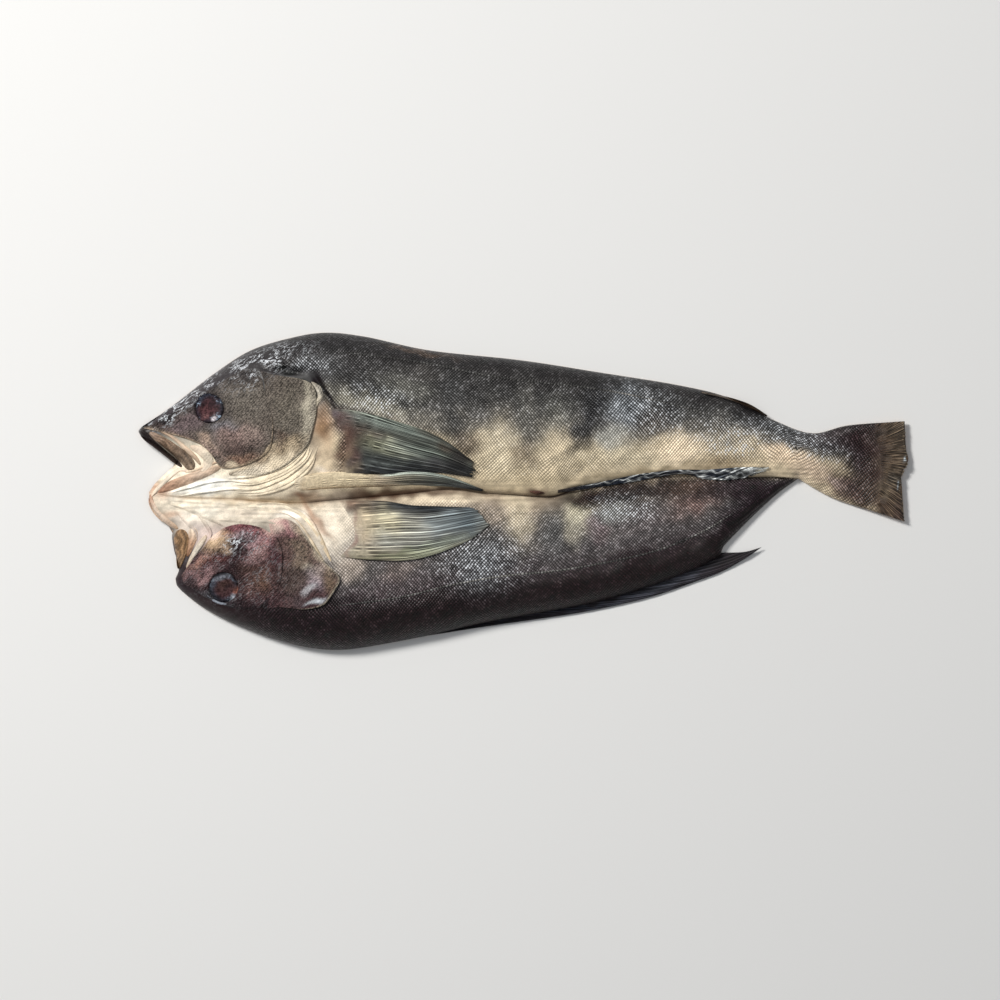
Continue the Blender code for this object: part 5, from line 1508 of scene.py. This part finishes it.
dorsal_outer = smooth_curve(DORSAL_EDGE[::-1])
tucked_in = 1.6 * soft_step(np.linspace(0, 12, len(DORSAL_BASE)))  # its foot lies under the body's edge
dorsal_inner = DORSAL_BASE[::-1] + np.outer(tucked_in, (0.0, 1.0))
fin("back_fin_lower", LONG_FIN, dorsal_inner, dorsal_outer,
    [dorsal_inner[0], dorsal_outer[0] + (0.0, -0.02)],
    [dorsal_inner[-1], *DORSAL_TIP[1:]],
    4, back_fin_tint, on_ground, thick=0.9, ribs=0.4, fray=0.0, curl=0.0, slant=-21.0, bare=0.02)


def on_back(x, y, u, v):
    """The rest of the back fin lies folded on the skin."""
    return skin_height(x, y) + 0.1 + 0.5 * soft_step(u / 0.2) * ramp(u, 1, -0.1)


def back_sliver_tint(x, y, u, v):
    """Brown black, lighter along its middle."""
    ground = fade(v, [(0.0, (40, 34, 32)), (1.0, (66, 54, 44))])
    return over(ground, (118, 98, 78), 0.6 * bell((v - 0.5) / 0.2))


fin("back_fin_upper", LONG_FIN,
    [(88.2, 48.4), (102.0, 45.0), (112.9, 40.5), (120.3, 37.0)],
    [(88.2, 49.4), (101.0, 46.7), (111.9, 43.0), (120.8, 37.5)],
    [(88.2, 48.4), (88.2, 49.4)], [(120.3, 37.0), (120.8, 37.5)],
    3, back_sliver_tint, on_back, thick=0.5, ribs=0.2, fray=0.2, curl=0.0, slant=-14.0, bare=0.05)

# %% Tail fin
PLEATS = 7.5
TAIL_HUB = (156.4, 16.3)
TAIL_SPREAD = 1.26  # the angle that its rays fill, in radians


def on_tail(x, y, u, v):
    """The tail fin stands just clear of the skin below it, with a few deep pleats in its middle."""
    pleat = np.sin(2 * np.pi * PLEATS * v + 1.2 * ripples(x, y, 22, 20)) * bell((v - 0.45) / 0.2)
    clear = 0.5 * soft_step(u / 0.6) - 0.44 + 0.1 * u
    return skin_height(x, y) + clear + 0.4 * pleat * ramp(u, 0.25, 0.5)


def tail_tint(x, y, u, v):
    """Brown grey, darker at its foot, with two beads of water at its edge, painted as pale highlights."""
    ground = fade(u, [
        (0.0, (60, 46, 48)), (0.2, (66, 52, 48)), (0.42, (88, 75, 63)), (0.75, (97, 84, 70)),
        (0.93, (88, 76, 64)), (1.0, (116, 104, 88)),
    ])
    ground = over(ground, (60, 47, 42), 0.8 * (1 - soft_step(v / 0.45)) * soft_step(u / 0.3))
    ground = over(ground, (62, 64, 62), 0.5 * bell((v - 0.40) / 0.07) * ramp(u, 0.3, 0.2))
    ground = lay(ground, x, y, [
        # two beads of water, painted as pale highlights
        (188.5, 15.3, 0.6, 1.0, 0, (200, 212, 218), 0.8), (185.0, 2.0, 0.4, 0.5, 0, (170, 180, 186), 0.6),
        (174.6, 8.4, 4.9, 8.4, 0, (54, 42, 38), 0.75), (174.1, 25.2, 6.9, 5.9, 0, (104, 84, 68), 0.7),
    ])
    return rooted(0.9 * ground, x, y, u, True, 0.85) * (0.7 + 0.3 * ramp(u, 0.25, 0.4))[..., None]


fin("tail_fin", WIDE_FIN,
    [(172.2, -9.4), (176.1, -10.9), (180.1, -12.3), (184.0, -13.5), (188.5, -14.8)],
    [(168.2, 32.3), (172.7, 33.0), (178.1, 33.7), (183.5, 34.3), (188.5, 34.6)],
    [(172.2, -9.4), (174.6, 2.5), (174.1, 14.3), (171.7, 24.2), (168.2, 32.3)],
    [(188.5, -14.8), (187.5, -8.4), (187.0, -1.5), (186.7, 6.4), (189.7, 13.3), (189.0, 21.2),
     (188.5, 29.1), (188.5, 34.6)],
    26, tail_tint, on_tail, thick=0.6, ribs=0.2, fray=0.9, curl=0.0, seed=31, bare=0.45,
    hub=(*TAIL_HUB, TAIL_SPREAD))

# %% [markdown]
# ## Eyes
# The eyes have dried dull and sunken: a dark red-brown lens with cloudy crescents. A sphere would hide most
# of itself in the head and look fresh and round. So each is a low dome that leans with the head, closed
# underneath, on polar rings whose middle points are pulled together into one.

# %% Eyes
EYE_GRID = ((48, 128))
RING_RADIUS = 9.0  # of the ring of skin that an eye's plane is fitted to
EYE_SUNK, EYE_DOME, EYE_DEPTH = 1.0, 1.6, 3.5
EYE_HOLLOW = (1.0, -0.6, 4.6, 3.6, 30)  # where a lens has dried in: its middle, half sizes and turn
# the lens from its middle out; its dark outer ring is partly its own dark rim and partly painted shade in the
# groove round it
EYE_STOPS = [
    (0.0, (58, 40, 42)), (0.5, (58, 40, 42)), (0.76, (42, 40, 46)), (0.88, (16, 14, 18)), (1.0, (11, 9, 12)),
]


def eye_skin(name):
    """A dark dried lens: tint from the vertices, cloudy veils
    from noise, little shine, thin painted glints at its rim."""
    f = Finish(name, Specular_IOR_Level=0.02)
    veil = f.noise(f.place(0.8), 4.0, 0.7).step(0.38, 0.62)
    glints = f.noise(f.place(0.5), 3.0, 0.75).step(0.52, 0.62)
    tint = f.scaled(f.read("tint"), veil * 1.1 + 0.5)
    tint = f.mix(glints * f.read("tint", AS_ALPHA) * 0.8, tint, (0.36, 0.45, 0.56, 1.0))
    crumple = f.bump(f.noise(f.place(0.3), 1.0), 0.0002, 0.2)
    return f.done(Base_Color=tint, Roughness=veil * 0.1 + 0.4, Normal=crumple)


eye_finish = eye_skin("eye lens")


def eye(name, centre, node, patches, hollow, glint):
    """A dome on rings, EYE_DOME * (1 - r^2) over the mean plane of the skin round it, less a hollow. Its rim
    has painted glints where two long waves meet."""
    ring = np.linspace(0, 2 * np.pi, 24, endpoint=False)
    dx, dy = RING_RADIUS * np.cos(ring), RING_RADIUS * np.sin(ring)
    sides = np.column_stack([np.ones(len(ring)), dx, dy])
    fit = np.linalg.lstsq(sides, skin_height(centre[0] + dx, centre[1] + dy), rcond=None)[0]
    n, m = EYE_GRID
    r = np.linspace(0, 1, n)[:, None]
    turn = np.linspace(0, 2 * np.pi, m + 1)[None, :-1]
    dx, dy = EYE_RADIUS * r * np.cos(turn), EYE_RADIUS * r * np.sin(turn)
    plane = fit[0] + fit[1] * dx + fit[2] * dy
    dent = hollow * blob(dx, dy, *EYE_HOLLOW)
    z = plane - EYE_SUNK + EYE_DOME * (1 - r**2) - dent + 0.05 * ripples(dx, dy, 41, 4)
    z = z - EYE_DOME * ramp(r, 0.93, 0.07)
    x, y = centre[0] + dx, centre[1] + dy
    ground = lay(fade(r + 0 * turn, EYE_STOPS), x, y, patches).reshape(-1, 3)
    arcs = soft_step(0.7 + 1.1 * ripples(dx, dy, 43, 9))
    wet = glint * arcs * ramp(r, 0.5, 0.25) * ramp(r, 0.95, -0.1)
    used = np.append(0, np.arange(m, n * m))  # all points of the innermost ring are one
    index = np.arange(n * m).reshape(n, m) - (m - 1)
    index[0] = 0
    wrapped = np.column_stack([index, index[:, 0]])
    lens = quads_of(wrapped)
    foot = np.stack([wrapped[-1, :-1], np.full(m, len(used)), wrapped[-1, 1:]], -1)
    points = np.vstack([np.stack([x, y, z], -1).reshape(-1, 3)[used], (*centre, plane.mean() - EYE_DEPTH)])
    add_piece(name, points, [lens[:m, :3], lens[m:], foot], ground[np.append(used, -1)], eye_finish,
              wet=np.append(wet.ravel()[used], 0), node=node)


eye("eye_lens_upper", UPPER_EYE, "eye_upper", [
    (-158.3, 46.4, 5.9, 1.5, 26, (44, 48, 58), 0.7),
    (-153.4, 43.5, 2.5, 3.5, -20, (36, 24, 28), 0.85),
    (-149.9, 44.5, 0.7, 3.0, -30, (60, 66, 78), 0.6),
    (-156.4, 40.0, 4.4, 4.0, 0, (68, 43, 45), 0.8),
    (-158.3, 43.0, 2.0, 1.5, 20, (24, 18, 22), 0.8),
    (-153.9, 42.0, 1.5, 2.0, 0, (34, 22, 26), 0.8),
    # a painted highlight, white, at the lower right of the lens
    (-151.9, 37.0, 1.0, 1.7, -40, (206, 200, 204), 0.9),
    (-156.8, 36.6, 2.0, 0.8, 10, (112, 80, 80), 0.7),
], 0.4, 1.0)
eye("eye_lens_lower", LOWER_EYE, "eye_lower", [
    (-148.9, -42.0, 5.4, 1.5, 16, (108, 112, 120), 0.8),
    (-147.0, -46.4, 4.4, 3.5, 30, (76, 58, 54), 0.8),
    (-145.5, -47.9, 4.0, 1.2, 40, (40, 30, 32), 0.8),
    (-152.9, -47.9, 1.5, 4.0, -10, (70, 74, 84), 0.7),
    (-141.0, -49.9, 1.7, 5.4, -14, (132, 88, 76), 0.8),
    # a painted highlight, blue white, at the lower right of the lens
    (-143.0, -53.8, 3.0, 1.5, 30, (160, 166, 174), 0.8),
], 1.6, 0.3)

# %% [markdown]
# ## Lateral lines
# A row of pierced scales runs along each flank, a thin broken line of light dots. The finish of the flank
# could draw it, but as a piece of its own it can run where it likes across the grid. It is a very fine strap,
# a pale grey that is darker or lighter with the skin under it.

# %% Lateral lines
def paler(gain, upper):
    """A pale grey that is a gain times as light as the skin of this half."""
    return lambda x, y: gain * body_tint(x, y, upper).mean(-1, keepdims=True) * np.array([1.04, 1.0, 0.92])


line_finish = scaled_skin("lateral line", 0.4)
strap("lateral_line_lower", line_finish, (0.4, 0.45, 0.35), 0.4, paler(2.3, False), [
    (-93.1, -56.8), (-61.0, -52.4), (-35.8, -46.4), (-10.6, -42.0), (14.6, -39.5), (37.8, -35.8),
    (65.0, -29.6), (87.2, -20.7), (104.5, -10.4),
], blunt=20.0, sink=0.15)
strap("lateral_line_upper", line_finish, (0.35, 0.4, 0.3), 0.35, paler(1.35, True), [
    (-90.6, 68.7), (-51.1, 63.7), (-10.6, 55.8), (32.9, 50.9), (62.5, 45.4), (87.2, 39.0), (109.4, 31.1),
], blunt=20.0, sink=0.15)

# %% [markdown]
# ## Floor
# The floor is a plain pale plane just under the fish.

# %% Floor
FLOOR_HALF = 6  # metres
FLOOR_LEVEL = -0.0002  # just under the fish
floor_mesh = bpy.data.meshes.new("floor")
corners = [(FLOOR_HALF * x, FLOOR_HALF * y, FLOOR_LEVEL) for x, y in ((-1, -1), (1, -1), (1, 1), (-1, 1))]
floor_mesh.from_pydata(corners, [], [(0, 1, 2, 3)])
floor_mesh.materials.append(Finish("floor", Roughness=0.7).done(Base_Color=(0.72, 0.72, 0.71, 1.0)))
floor = put("floor", floor_mesh)
